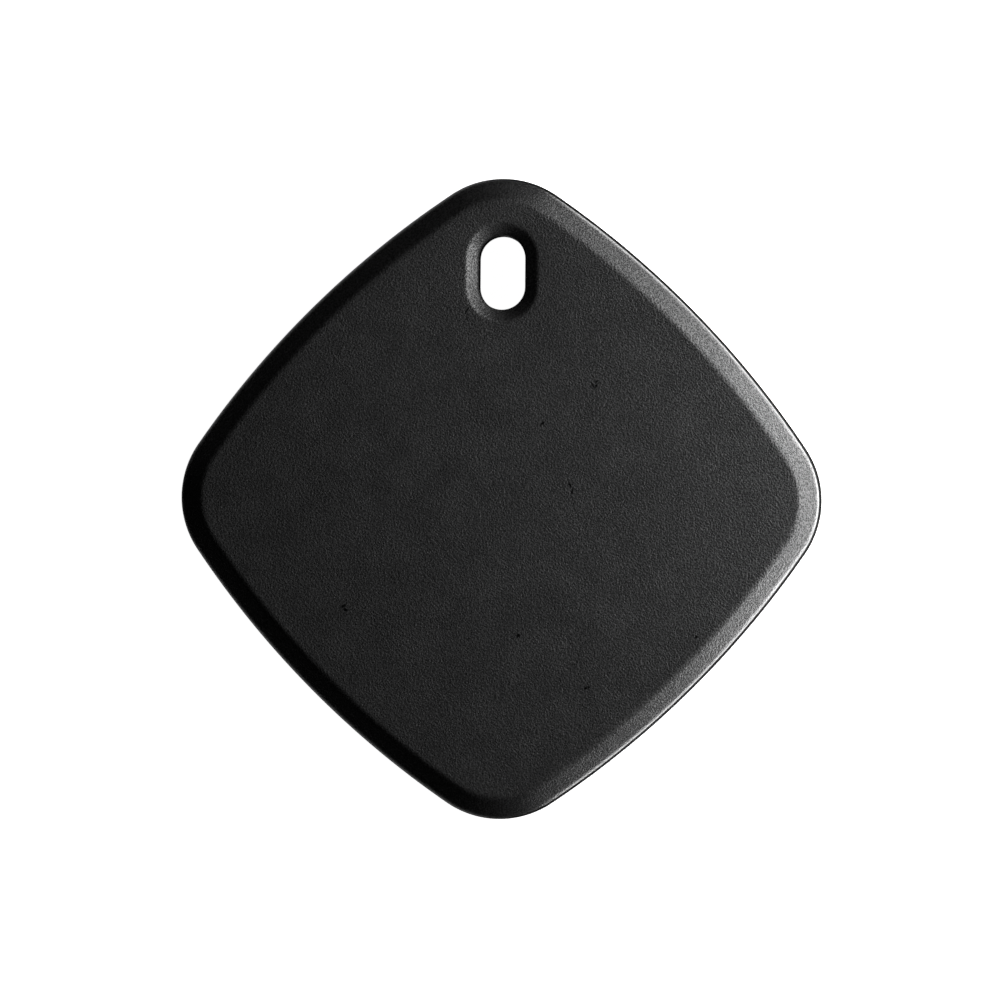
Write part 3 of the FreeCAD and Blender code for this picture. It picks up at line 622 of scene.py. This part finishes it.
def make_front_cover():
    """The front shell, with the slot's sleeve, a ring rib that holds the foam pad and five ejector marks."""
    mesh = bmesh.new()
    low = SEAM + SEAM_GAP
    side, crest, edge, near = COVER_INSET, COVER_INSET + BEVEL_REACH, 0.10 * MM, 0.03 * MM
    outer = [(side + edge, low), (side + near, low + near), (side, low + edge)]
    bevel = ((side, TOP - BEVEL_DROP - MM), (side, TOP - BEVEL_DROP), (crest, TOP), (crest + MM, TOP))
    outer += soften(bevel, (0, BEVEL_RIM, BEVEL_CREST, 0), steps=9)[:-1]
    bottom, face_edge = skin(mesh, tag_outline, outer)

    mouth = SLOT_RADIUS + SLOT_RIM
    rim = ((SLOT_RADIUS, low), (SLOT_RADIUS, TOP - SLOT_RIM), (mouth, TOP), (mouth + MM, TOP))
    rim = soften(rim, (0, SLOT_RIM_EDGE, SLOT_RIM_EDGE, 0), steps=6)[:-1]
    sleeve_end, slot_edge = skin(mesh, slot_outline, rim)
    fill_flat(mesh, face_edge, slot_edge)

    corner, corner_steps = 0.4 * MM, 4
    lip = LIP_INSET - SEAM_GAP
    inner = [(lip, low), (lip, SEAL_TOP), (WALL, SEAL_TOP)]
    inner += rolled_edge(WALL, CEILING - corner, corner, corner, corner_steps)
    _, ceiling_edge = skin(mesh, tag_outline, inner, first=bottom)
    sleeve = [(SLEEVE_RADIUS, low), (SLEEVE_RADIUS, CEILING)]
    _, sleeve_root = skin(mesh, slot_outline, sleeve, first=sleeve_end)

    rib_outer, rib_inner, rib_low = 6.9 * MM, 6.1 * MM, CEILING - 0.4 * MM
    rib = ((rib_outer, CEILING), (rib_outer, rib_low), (rib_inner, rib_low), (rib_inner, CEILING))
    ejector_radius, ejector_depth = mm(1.2, 0.05)
    mark = ((ejector_radius, CEILING), (ejector_radius, CEILING + ejector_depth))
    mark_places = (mm(-11.5, 0), mm(11.5, 0), mm(0, -12.5), mm(9, 10.5), mm(-9, 10.5))
    holes = turned_ends(mesh, [(0, 0)], rib, 96) + turned_ends(mesh, mark_places, mark, 32)
    fill_flat(mesh, ceiling_edge, sleeve_root, *holes)
    make_piece("front_cover_shell", mesh, "front_cover", "face_plastic")


def make_rear_case():
    """The rear shell: its drafted side wall is satin, painted darker as shade, and the rest of it is grained.
    """
    mesh = bmesh.new()
    chamfer = 0.05 * MM
    outer = rolled_foot(0, REAR_ROLL)[::-1]
    outer += [(CASE_DRAFT, SEAM - chamfer), (CASE_DRAFT + chamfer, SEAM)]
    rear_edge, wall_top = skin(mesh, tag_outline, outer)
    for face in mesh.faces:
        face.material_index = 1 if face.calc_center_median().z > REAR_ROLL else 0

    lip_edge, corner, corner_steps = 0.1 * MM, 0.4 * MM, 4
    inner = [(LIP_INSET, SEAM), (LIP_INSET, LIP_TOP - lip_edge), (LIP_INSET + lip_edge, LIP_TOP)]
    inner += [(WALL - lip_edge, LIP_TOP), (WALL, LIP_TOP - lip_edge)]
    inner += [(size, REAR_WALL + height) for size, height in rolled_foot(WALL, corner, corner_steps)]
    _, floor_edge = skin(mesh, tag_outline, inner, first=wall_top)

    rim = rolled_foot(SLOT_RADIUS, SLOT_RIM, 10)[::-1]
    sleeve = [(SLOT_RADIUS, SEAM), (SLEEVE_RADIUS, SEAM), (SLEEVE_RADIUS, REAR_WALL)]
    slot_edge, sleeve_root = skin(mesh, slot_outline, [*rim, *sleeve])

    button_hole, chamfer = mm(3.35, 0.12)
    hole = ((button_hole + chamfer, 0), (button_hole, chamfer), (button_hole, REAR_WALL))
    button_edge, button_root = skin(mesh, circles_at(0, BUTTON_MIDDLE, 96), hole)
    fill_flat(mesh, rear_edge, slot_edge, button_edge)

    pocket_radius, pocket_floor = 8.0 * MM, REAR_WALL - 0.3 * MM
    pocket = ((pocket_radius, REAR_WALL), (pocket_radius, pocket_floor))
    holes = [sleeve_root, button_root, *turned_ends(mesh, [(0, SOUNDER_MIDDLE)], pocket, 96)]

    boss_radius, bore, bore_floor, post_radius, edge = mm(1.7, 0.71, 1.4, 1.0, 0.1)
    post, boss = (
        [(radius, REAR_WALL), (radius, BOARD_BOTTOM - edge), (radius - edge, BOARD_BOTTOM)]
        for radius in (post_radius, boss_radius)
    )
    boss += [(bore, BOARD_BOTTOM), (bore, bore_floor)]
    holes += turned_ends(mesh, SCREW_PLACES, boss, 40) + turned_ends(mesh, REST_PLACES, post, 32)
    fill_flat(mesh, floor_edge, *holes)
    piece = make_piece("rear_case_shell", mesh, "rear_case", "case_plastic", "satin_shaded_band")

    cutters = bmesh.new()
    near, far, half, window_low, window_high = mm(17.2, 18.45, 2.2, 4.4, 5.1)
    window = ((near, -half), (far, -half), (far, half), (near, half))
    for quarter in range(4):
        turn = radians(45 + 90 * quarter)
        way, side = Vector((cos(turn), sin(turn))), Vector((-sin(turn), cos(turn)))
        prism(cutters, [tuple(way * r + side * s) for r, s in window], window_low, window_high)
    half, depth, above = mm(3.5, 0.7, 0.02)
    tip = -(CORNER_REACH + CORNER_RADIUS)
    pry_notch = ((-half, tip - WALL), (half, tip - WALL), (half, tip + depth), (-half, tip + depth))
    prism(cutters, pry_notch, SEAM - depth, SEAM + above)
    carve(piece, cutters)


# ---- soft pieces


def make_turned(name, node, profile, corner=0, steps=128, middle=(0, 0), pushed=None):
    """A piece that is one turned solid, with softened corners if they have a size."""
    mesh = bmesh.new()
    lathe(mesh, soften(profile, corner) if corner else profile, middle, steps)
    return make_piece(name, mesh, node, pushed=pushed)


def make_foam_pad():
    """The foam disc over the cell: crowned edges, squeezed flat between the cover and the cell."""
    (_, _, low), (radius, _, high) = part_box("battery_pad")
    middle, half, crown, steps = (low + high) / 2, (high - low) / 2, 0.18 * MM, 8
    profile = [(0, low), (radius - 2 * crown, low)]
    for step in range(steps + 1):
        angle = pi * (step / steps - 0.5)
        profile.append((radius - crown + crown * cos(angle), middle + half * sin(angle)))
    profile += [(radius - 2 * crown, high), (0, high)]
    pad = make_turned("foam_pad", "battery_pad", profile, steps=120)


def make_seal():
    """A silicone bead round the case's lip, with a rounded back and two low sealing ridges."""
    low, high = LIP_TOP, SEAL_TOP
    overlap, shoulder, valley, corner = mm(0.02, 0.16, 0.12, 0.04)
    inner, outer = WALL - overlap, LIP_INSET + overlap
    width = inner - outer
    profile = [(outer, low), (outer, high - shoulder)]
    for share, depth in ((0.16, 0), (0.34, 0), (0.5, valley), (0.66, 0), (0.84, 0)):
        profile.append((outer + share * width, high - depth))
    profile += [(inner, high - shoulder), (inner, low)]
    mesh = bmesh.new()
    first, last = skin(mesh, tag_outline, soften(profile, corner))
    join_rings(mesh, last, first)
    make_piece("seal_bead", mesh, "perimeter_seal")


# ---- coin cell


def make_cell_can():
    """The positive can: a rounded shoulder, a shallow ring pressed into its top and a crimp below."""
    (_, _, low), (radius, _, top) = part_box("cell_can")
    wall, crimp, sheet, foot, foot_rise = mm(0.25, 0.7, 0.2, 0.25, 0.5)
    groove, groove_half, groove_depth = 0.82 * radius, 0.25 * MM, 0.06 * MM
    profile = [(0, top - wall), (radius - wall, top - wall), (radius - wall, low + sheet)]
    profile += [(radius - crimp, low + sheet), (radius - crimp, low), (radius - foot, low)]
    profile += [(radius, low + foot_rise), (radius, top), (groove + groove_half, top)]
    profile += [(groove, top - groove_depth), (groove - groove_half, top), (0, top)]
    make_turned("cell_can_pressed", "cell_can", profile, 0.14 * MM)


def make_cell_cap():
    """The negative cap: a pressed dish with a stepped skirt."""
    low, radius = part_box("cell_cap")[0][2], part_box("cell_can")[1][0]
    sheet = 0.2 * MM
    cap, skirt, step, skirt_top = radius - 1.3 * MM, radius - 0.9 * MM, low + 0.8 * MM, low + 1.4 * MM
    profile = [(0, low), (cap, low), (cap, step), (skirt, step), (skirt, skirt_top)]
    profile += [(skirt - sheet, skirt_top), (skirt - sheet, step + sheet), (cap - sheet, step + sheet)]
    profile += [(cap - sheet, low + sheet), (0, low + sheet)]
    make_turned("cell_cap_pressed", "cell_cap", profile, 0.1 * MM)


# ---- circuit board

# Copper tracks on the board's top, as runs of (x, y) points in millimetres, and their widths.
TRACKS = (
    (0.35, ((-12.5, 2), (-11.8, 2), (-11.8, 10.2), (-9.4, 12.6), (9.4, 12.6), (15.6, 6.4), (15.6, 2.2))),
    (0.2, ((-14.6, 0), (-14.6, -1))),
    (0.2, ((-15.4, 0), (-15.4, -3.6))),
    (0.2, ((-13.2, 0), (-13.2, -2.6), (-12.4, -3.4), (-12.4, -6))),
    (0.25, ((-16.6, 2.6), (-17.4, 2.6))),
    (0.25, ((-16.6, 3.4), (-17.4, 3.4))),
    (0.2, ((-14, 4), (-14, 5.2))),
    (0.2, ((-15.6, 4), (-15.6, 5.2))),
    (0.5, ((-3.2, -15.2), (-6.2, -13.4))),
    (0.5, ((2.6, -13.2), (2.6, -15.6), (1.6, -16.4))),
    (0.2, ((-1.6, -16.4), (-1.6, -17.8), (-8.6, -11.9), (-12.8, -7.6))),
    (0.2, ((0, -16.4), (0, -18.6), (-9.6, -11), (-14.6, -6.4))),
    (0.3, ((3.2, -16.4), (6.4, -14.2), (8, -11.6), (12.6, -8.6))),
    (0.3, ((12.6, -6.2), (12.9, -4.6), (12.9, 4.7))),
    (0.25, ((12.9, 6.4), (12.9, 8.2), (10.4, 10.6))),
    (0.25, ((14.9, -1), (13.6, -1))),
    (0.25, ((14.9, 1), (13.6, 1))),
    (0.4, ((-7.6, -12.2), (-11.2, -9), (-11.2, -7.4))),
)
PAD_MARGIN, COPPER_RISE, COPPER_SINK, TRACK_RISE = mm(0.18, 0.035, 0.02, 0.02)
SOLDERED = (
    "bluetooth_chip", "main_crystal", "clock_crystal", "chip_antenna", "supply_inductor",
    "reservoir_capacitor", "buzzer_inductor", "buzzer_driver", "matching_inductors",
    "ceramic_capacitors", "chip_resistors",
)


def add_vias(mesh):
    """Small plated rings scattered over the free parts of the board."""
    random.seed(7)
    tries, most, reach = 400, 34, 19
    outer, inner, sink = mm(0.28, 0.12, 0.01)
    across, cell, slot_room, post_room, chip_room, apart = mm(19.0, 11.8, 5.0, 2.0, 0.6, 1.1)
    ring = ((inner, BOARD_TOP - sink), (outer, BOARD_TOP - sink))
    ring += ((outer, BOARD_TOP + TRACK_RISE), (inner, BOARD_TOP + TRACK_RISE))
    chips = [box for node in SOLDERED for box in solids_of(node)]
    taken = [(0, 0, cell), (0, SLOT_MIDDLE, slot_room), *((*place, post_room) for place in SCREW_PLACES)]
    placed = 0
    for _ in range(tries):
        x, y = random.uniform(-reach, reach) * MM, random.uniform(-reach, reach) * MM
        free = abs(x) + abs(y) < across and all(hypot(x - a, y - b) > room for a, b, room in taken)
        gaps = (max(low.x - x, x - high.x, low.y - y, y - high.y) for low, high in chips)
        if free and placed < most and min(gaps) >= chip_room:
            placed += 1
            taken.append((x, y, apart))
            lathe(mesh, ring, (x, y), steps=16, material=2)


def make_board():
    """The board: a laminate with solder mask on both faces, raised tracks, bare gold pads and vias."""
    mesh = bmesh.new()
    inset, bevel, slot_room = mm(1.9, 0.05, 0.3)
    edge = ((inset + bevel, BOARD_BOTTOM), (inset, BOARD_BOTTOM + bevel))
    edge += ((inset, BOARD_TOP - bevel), (inset + bevel, BOARD_TOP))
    holes = [(slot_outline, SLEEVE_RADIUS + slot_room)]
    for places, radius in ((SCREW_PLACES, SCREW_HOLE), (PEG_PLACES, PEG_HOLE)):
        holes += [(circles_at(x, y, 32), radius) for x, y in places]
    ends = [skin(mesh, tag_outline, edge)]
    for outline, size in holes:
        ends.append(skin(mesh, outline, ((size, BOARD_BOTTOM), (size, BOARD_TOP))))
    for face in mesh.faces:
        face.material_index = 3
    fill_flat(mesh, *(under for under, _ in ends))
    fill_flat(mesh, *(over for _, over in ends))

    sunk = BOARD_TOP - COPPER_SINK
    for width, path in TRACKS:
        strip = strip_outline([mm(*point) for point in path], width * MM)
        prism(mesh, strip, sunk, BOARD_TOP + TRACK_RISE, material=1)
    land, land_top = 1.55 * MM, BOARD_TOP + COPPER_RISE / 4
    for place in SCREW_PLACES:
        profile = ((SCREW_HOLE, sunk), (land, sunk), (land, land_top), (SCREW_HOLE, land_top))
        lathe(mesh, profile, place, steps=40, material=2)
    margin, longest, edge_radius = Vector((PAD_MARGIN, PAD_MARGIN, 0)), 0.8 * MM, 0.01 * MM
    for node in SOLDERED[1:]:
        for low, high in solids_of(node):
            reach = min(0.35 * max(high.x - low.x, high.y - low.y), longest)
            for start, end in end_boxes(low, high, reach):
                start, end = start - margin, end + margin
                start.z, end.z = sunk, BOARD_TOP + COPPER_RISE
                block(mesh, start, end, edge_radius, 2)
    add_vias(mesh)
    finishes = ("solder_mask", "copper_track", "gold_strip", "board_fibre")
    make_piece("board_with_tracks", mesh, "circuit_board", *finishes)


def make_screws():
    """Pan-head screws with a cross recess and a coarse thread on the shank."""
    mesh = bmesh.new()
    shank, pitch, head_rise, head_side = mm(0.7, 0.4, 0.6, 0.28)
    core = 0.82 * shank
    arm, half, depth, narrowing = 0.8 * MM, 0.17 * MM, 0.35 * MM, 0.8
    for low, high in solids_of("board_screws"):
        x, y = middle_of(low, high)
        head, under, height = (high.x - low.x) / 2, high.z - head_rise, low.z + pitch
        outer = [(0.55 * shank, low.z), (0.8 * shank, low.z + 0.3 * MM)]
        while height < BOARD_TOP - pitch:
            outer += [(core, height), (shank, height + pitch / 2)]
            height += pitch
        outer += [(core, BOARD_TOP - 0.1 * MM), (core, under), (head, under), (head, high.z - head_side)]
        outer += [(0.93 * head, high.z - 0.08 * MM), (0.75 * head, high.z)]
        tip, crown = skin(mesh, circles_at(x, y, 48), outer)
        fill_flat(mesh, tip)
        cross = []
        for turn in range(4):
            c, d = cos(turn * pi / 2), sin(turn * pi / 2)
            cross += [(a * c - b * d, a * d + b * c) for a, b in ((arm, -half), (arm, half), (half, half))]
        recess = ((1, high.z), (narrowing, high.z - depth))
        mouth, base = skin(mesh, lambda size: [(x + size * a, y + size * b) for a, b in cross], recess)
        fill_flat(mesh, base)
        fill_flat(mesh, crown, mouth)
    make_piece("board_screws_cross", mesh, "board_screws")


# ---- components


def chip_with_ends(mesh, low, high, end_reach):
    """A chip part: a body between two wrapped, tinned ends."""
    wrap, body_edge, end_edge = mm(0.02, 0.03, 0.05)
    inwards = Vector((wrap, wrap, wrap))
    block(mesh, low + inwards, high - inwards, body_edge, 0)
    for start, end in end_boxes(low, high, end_reach):
        block(mesh, start, end, end_edge, 1)


def make_chip_parts(node):
    share = 0.24
    mesh = bmesh.new()
    for low, high in solids_of(node):
        chip_with_ends(mesh, low, high, share * max(high.x - low.x, high.y - low.y))
    make_piece(f"{node}_tinned", mesh, node, SLOT_OF[node], "tin")


def make_bluetooth_chip():
    """A leadless package with a dimple at its first corner and a row of pads along each side."""
    low, high = solids_of("bluetooth_chip")[0]
    mesh = bmesh.new()
    stand, edge, dimple_in = mm(0.05, 0.04, 0.6)
    block(mesh, low + Vector((0, 0, stand)), high, edge, 0)
    pads = 8
    pitch, pad_half, pad_in, pad_out, pad_rise, pad_edge = mm(0.4, 0.1, 0.1, 0.03, 0.2, 0.01)
    x, y = middle_of(low, high)
    for index in range(pads):
        shift = (index - (pads - 1) / 2) * pitch
        start, end = shift - pad_half, shift + pad_half
        for side in (-1, 1):
            root = side * ((high.x - low.x) / 2 - pad_in)
            near, far = sorted((root, root + side * (pad_in + pad_out)))
            block(mesh, (x + near, y + start, low.z), (x + far, y + end, low.z + pad_rise), pad_edge, 1)
            block(mesh, (x + start, y + near, low.z), (x + end, y + far, low.z + pad_rise), pad_edge, 1)
    chip = make_piece("bluetooth_chip_package", mesh, "bluetooth_chip", "chip_epoxy", "tin")
    base, foot, mouth, foot_rise, above = mm(0.04, 0.2, 0.22, 0.02, 0.1)
    dimple = bmesh.new()
    profile = ((0, high.z - base), (foot, high.z - foot_rise), (mouth, high.z + above), (0, high.z + above))
    lathe(dimple, profile, (low.x + dimple_in, high.y - dimple_in), steps=32)
    carve(chip, dimple)


def make_crystal(node):
    """A sealed crystal: a ceramic tray with a thin metal lid welded on."""
    low, high = solids_of(node)[0]
    mesh = bmesh.new()
    rim, step, sink, flange, tray_edge, flange_edge, lid_edge = mm(0.08, 0.16, 0.02, 0.08, 0.04, 0.02, 0.07)
    tray_top = low.z + 0.55 * (high.z - low.z)
    tray, flat = (0, low.z, tray_top, tray_edge, 1), (rim, tray_top - sink, tray_top + flange, flange_edge, 0)
    for inset, base, top, edge, finish in (tray, flat, (step, tray_top, high.z, lid_edge, 0)):
        start, end = (low.x + inset, low.y + inset, base), (high.x - inset, high.y - inset, top)
        block(mesh, start, end, edge, finish)
    make_piece(f"{node}_lidded", mesh, node, "crystal_can", "capacitor_ceramic")


def make_antenna():
    """A white ceramic block with tinned ends and a folded silver line printed on its top."""
    low, high = solids_of("chip_antenna")[0]
    mesh = bmesh.new()
    below, end_reach, side, end, width, sink, proud = mm(0.03, 0.45, 0.35, 0.6, 0.14, 0.06, 0.02)
    chip_with_ends(mesh, low, high - Vector((0, 0, below)), end_reach)
    left, right, start, stop, folds = low.x + side, high.x - side, low.y + end, high.y - end, 6
    path = []
    for index in range(folds):
        y = start + (stop - start) * index / (folds - 1)
        path += [(left, y), (right, y)] if index % 2 == 0 else [(right, y), (left, y)]
    prism(mesh, strip_outline(path, width), high.z - sink, high.z - proud, material=1)
    make_piece("chip_antenna_printed", mesh, "chip_antenna", "antenna_ceramic", "tin")


def make_power_inductor(node):
    """A drum core in a square ferrite sleeve: the drum stands in a ring-shaped gap, with copper below."""
    low, high = solids_of(node)[0]
    mesh = bmesh.new()
    x, y = middle_of(low, high)
    half_x, half_y = (high.x - low.x) / 2, (high.y - low.y) / 2
    reach = min(half_x, half_y)
    well, drum, corner, floor = 0.82 * reach, 0.70 * reach, 0.25 * reach, high.z - 0.35 * (high.z - low.z)
    stand, shoulder, drop, foot_rise, foot_edge = mm(0.06, 0.05, 0.02, 0.12, 0.02)
    points = []
    for sx, sy in ((1, 1), (-1, 1), (-1, -1), (1, -1)):
        ends = [(sx * half_x, sy * (half_y - corner)), (sx * (half_x - corner), sy * half_y)]
        points += ends if sx * sy > 0 else ends[::-1]
    sleeve = ((1, low.z + stand), (1, high.z - shoulder), (0.97, high.z))
    bottom, crown = skin(mesh, lambda size: [(x + size * a, y + size * b) for a, b in points], sleeve)
    fill_flat(mesh, bottom)
    round_it = circles_at(x, y, 48)
    mouth, base = skin(mesh, round_it, ((well, high.z), (well, floor)))
    root, lid = skin(mesh, round_it, ((drum, floor), (drum, high.z - drop)))
    join_rings(mesh, base, root, material=1)
    fill_flat(mesh, crown, mouth)
    fill_flat(mesh, lid)
    foot, top = 0.6 * half_y, low.z + foot_rise
    for side in (-1, 1):
        near, far = sorted((side * 0.55 * half_x, side * half_x))
        block(mesh, (x + near, y - foot, low.z), (x + far, y + foot, top), foot_edge, 2)
    make_piece(f"{node}_wound", mesh, node, "ferrite", "coil_copper", "tin")


def make_driver():
    """A six-legged package whose legs bend down to the board."""
    low, high = solids_of("buzzer_driver")[0]
    mesh = bmesh.new()
    leg, stand, edge, pitch, shin_in, root_in = mm(0.28, 0.08, 0.06, 0.65, 0.13, 0.05)
    knee, foot, thick, half = mm(0.42, 0.05, 0.09, 0.11)
    block(mesh, (low.x, low.y + leg, low.z + stand), (high.x, high.y - leg, high.z), edge, 0)
    for index in (-1, 0, 1):
        x = (low.x + high.x) / 2 + index * pitch
        for side, tip, root in ((-1, low.y, low.y + leg), (1, high.y, high.y - leg)):
            shin = tip - side * shin_in
            path = ((root - side * root_in, low.z + knee), (shin, low.z + knee))
            path += ((shin, low.z + foot), (tip, low.z + foot))
            outline = strip_outline(path, thick)
            rings = [[mesh.verts.new((end, y, z)) for y, z in outline] for end in (x - half, x + half)]
            join_rings(mesh, *rings, 1)
            for ring in rings:
                fill_flat(mesh, ring, material=1)
    make_piece("buzzer_driver_legged", mesh, "buzzer_driver", "chip_epoxy", "tin")


def make_test_pads():
    mesh = bmesh.new()
    corner = 0.02 * MM
    for low, high in solids_of("test_pads"):
        radius = (high.x - low.x) / 2
        profile = ((0, low.z), (radius, low.z), (radius * 0.9, high.z - corner), (0, high.z))
        lathe(mesh, soften(profile, corner), middle_of(low, high), steps=40)
    make_piece("test_pads_domed", mesh, "test_pads")


# ---- sounder and button


def make_sounder():
    """The brass plate with a rolled edge, and the ceramic disc with its silver face set in from the edge."""
    middle = (0, SOUNDER_MIDDLE)
    (_, _, low), (radius, _, high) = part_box("sounder_plate")
    profile = ((0, low), (radius, low), (radius, high), (0, high))
    make_turned("sounder_plate_rolled", "sounder_plate", profile, 0.05 * MM, middle=middle)
    (_, _, low), (radius, _, high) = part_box("sounder_ceramic")
    mesh = bmesh.new()
    margin, silver, corner = mm(0.45, 0.02, 0.03)
    profile = ((0, low), (radius, low), (radius, high - silver), (0, high - silver))
    lathe(mesh, soften(profile, corner), middle, steps=128)
    sunk, edge = high - 2 * silver, radius - margin
    lathe(mesh, ((0, sunk), (edge, sunk), (edge, high), (0, high)), middle, steps=128, material=1)
    make_piece("sounder_ceramic_silvered", mesh, "sounder_ceramic", "piezo_ceramic", "silver_face")


def make_button():
    """The dished button cap with a raised ring for the fingertip, and the membrane over it."""
    middle, corner = (0, BUTTON_MIDDLE), 0.06 * MM
    (_, _, low), (flange, _, high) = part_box("button_cap")
    dish, dish_depth, dish_rise, steps = 2.1 * MM, 0.28, 0.10, 8
    radius, flange_low = 3.3 * MM, high - 0.4 * MM
    profile = []
    for step in range(steps + 1):
        along = step / steps
        profile.append((dish * along, low + (dish_depth - dish_rise * along**2) * MM))
    profile += [(size * MM, low + height * MM) for size, height in ((2.35, 0.05), (2.6, 0.05), (2.75, 0.14))]
    profile += [(radius - 0.15 * MM, low + 0.02 * MM), (radius, low + 0.2 * MM), (radius, flange_low)]
    profile += [(flange, flange_low), (flange, high), (0, high)]
    make_turned("button_cap_dished", "button_cap", profile, corner, 96, middle)

    web_low, web_high = high, high + 0.25 * MM
    (_, _, low), (radius, _, high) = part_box("button_membrane")
    foot, pip, pip_foot, web_reach, dip, dip_depth = mm(0.9, 0.8, 0.15, 2.4, 1.6, 0.05)
    inner = radius - foot
    profile = [(0, web_low), (inner, web_low), (inner, low), (radius, low), (radius, web_high)]
    profile += [(web_reach, web_high), (dip, web_high - dip_depth), (pip + pip_foot, web_high)]
    profile += [(pip, high), (0, high)]
    pushed = ((*middle, low), (*middle, web_low))
    make_turned("button_membrane_moulded", "button_membrane", profile, corner, 96, middle, pushed)


def make_switch_dome():
    """The snap dome: a thin crowned disc that the actuator pushes flat against the contact under it."""
    (_, _, crown), (radius, _, rim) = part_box("switch_dome")
    sheet, steps = 0.06 * MM, 10
    rise = rim - crown - sheet
    along = [step / steps for step in range(steps + 1)]
    profile = [(radius * t, crown + rise * t**2) for t in along]
    profile += [(radius * t, crown + sheet + rise * t**2) for t in reversed(along)]
    middle = (0, BUTTON_MIDDLE)
    pushed = ((*middle, rim), (*middle, crown + sheet))
    make_turned("switch_dome_crowned", "switch_dome", profile, 0, 64, middle, pushed)


# ---- stage, lights and camera


def make_camera():
    """Nearly straight above, with the tag half a degree askew; the view's width is at the seam's height."""
    view_width, distance, aside, roll = 72.5 * MM, 1.2, 0.019, radians(0.47)
    aim_x, aim_y = mm(-0.067, -0.076)
    data = bpy.data.cameras.new("camera")
    data.sensor_width = 36
    data.lens = data.sensor_width * distance / view_width
    camera = add_object("camera", data)
    camera.location = (aim_x + aside * cos(roll), aim_y + aside * sin(roll), distance + SEAM)
    camera.rotation_euler = (0, atan2(aside, distance), roll)
    bpy.context.scene.camera = camera


def stage_piece(name, mesh, emission, grey):
    """A glowing surface that the camera sees and that neither lights the tag nor shows in it."""
    glow = {"Specular IOR Level": 0, "Emission Color": (1, 1, 1, 1), "Emission Strength": emission}
    piece = end_mesh(name, mesh)
    piece.data.materials.append(new_material(name, (grey, grey, grey), 0.9, more=glow)[0])
    piece.visible_diffuse = piece.visible_glossy = piece.visible_transmission = False
    piece.visible_shadow = False


def make_stage():
    """A pale floor and a pale wall round it."""
    radius, steps, wall_foot, wall_top = 1.8, 64, -0.01, 1.5
    floor = bmesh.new()
    fill_flat(floor, add_ring(floor, circle(0, 0, radius, steps), 0.0))
    stage_piece("floor", floor, 1.0, 0.9)
    wall = bmesh.new()
    skin(wall, circles_at(0, 0, steps), ((radius, wall_foot), (radius, wall_top)))
    stage_piece("backdrop", wall, 0.9, 0)


# Lamps aimed at the tag: place, size and power.
LAMPS = {
    "near_lamp": ((0.076, 0.008, 0.048), (0.04, 0.04), 0.064),
    "upper_lamp": ((0.070, 0.058, 0.055), (0.05, 0.05), 0.039),
    "low_lamp": ((0.16, 0.01, 0.045), (0.06, 0.03), 0.075),
    "upper_fill": ((0.125, 0.092, 0.025), (0.06, 0.05), 0.060),
    "lower_fill": ((0.138, -0.07, 0.025), (0.06, 0.05), 0.080),
}
UNDER_FILLS = {
    "under_fill_0": ((-0.18, -0.18, -0.32), (0.3, 0.3), 0.12),
    "under_fill_2": ((-0.18, 0.18, -0.32), (0.3, 0.3), 0.12),
}
# White cards lying lit on the floor: distance and direction from the tag's middle, size and power.
CARDS = {
    "right_card": (0.035, 0, (0.014, 0.05), 0.032),
    "side_card_45": (0.0285, 45, (0.010, 0.028), 0.007),
    "side_card_-45": (0.0285, -45, (0.010, 0.028), 0.007),
}
CARD_HEIGHT = 0.0006
LAMP_AIM = (0, 0, 0.008)


def area_light(name, place, size, power):
    data = bpy.data.lights.new(name, "AREA")
    data.shape = "RECTANGLE"
    data.size, data.size_y = size
    data.energy = power
    light = add_object(name, data)
    light.location = place
    light.rotation_euler = (Vector(LAMP_AIM) - Vector(place)).to_track_quat("-Z", "Y").to_euler()
    light.visible_camera = False
    return light


def make_lights():
    """A lamp close on the right, low fills round it, cards beside the tag and a dim room."""
    for name, values in LAMPS.items():
        area_light(name, *values)
    for name, (reach, turn, size, power) in CARDS.items():
        way = radians(turn)
        card = area_light(name, (reach * cos(way), reach * sin(way), CARD_HEIGHT), size, power)
        card.rotation_euler = (pi, 0, way)
    for name, values in UNDER_FILLS.items():
        area_light(name, *values)
    world = bpy.data.worlds.new("world")
    world.use_nodes = True
    background = world.node_tree.nodes["Background"].inputs
    background["Color"].default_value = (1, 1, 1, 1)
    background["Strength"].default_value = 0.01
    bpy.context.scene.world = world


for node_name, node in frame["nodes"].items():
    node.data.materials.clear()
    node.data.materials.append(LOOKS[SLOT_OF[node_name]])

make_front_cover()
make_rear_case()
make_seal()
make_foam_pad()
make_cell_can()
make_cell_cap()
make_board()
make_screws()
make_bluetooth_chip()
make_crystal("main_crystal")
make_crystal("clock_crystal")
make_antenna()
make_power_inductor("supply_inductor")
make_power_inductor("buzzer_inductor")
make_driver()
for chip_parts in ("reservoir_capacitor", "ceramic_capacitors", "chip_resistors", "matching_inductors"):
    make_chip_parts(chip_parts)
make_test_pads()
make_sounder()
make_button()
make_switch_dome()
make_camera()
make_stage()
make_lights()
bpy.context.scene.view_settings.view_transform = "Standard"
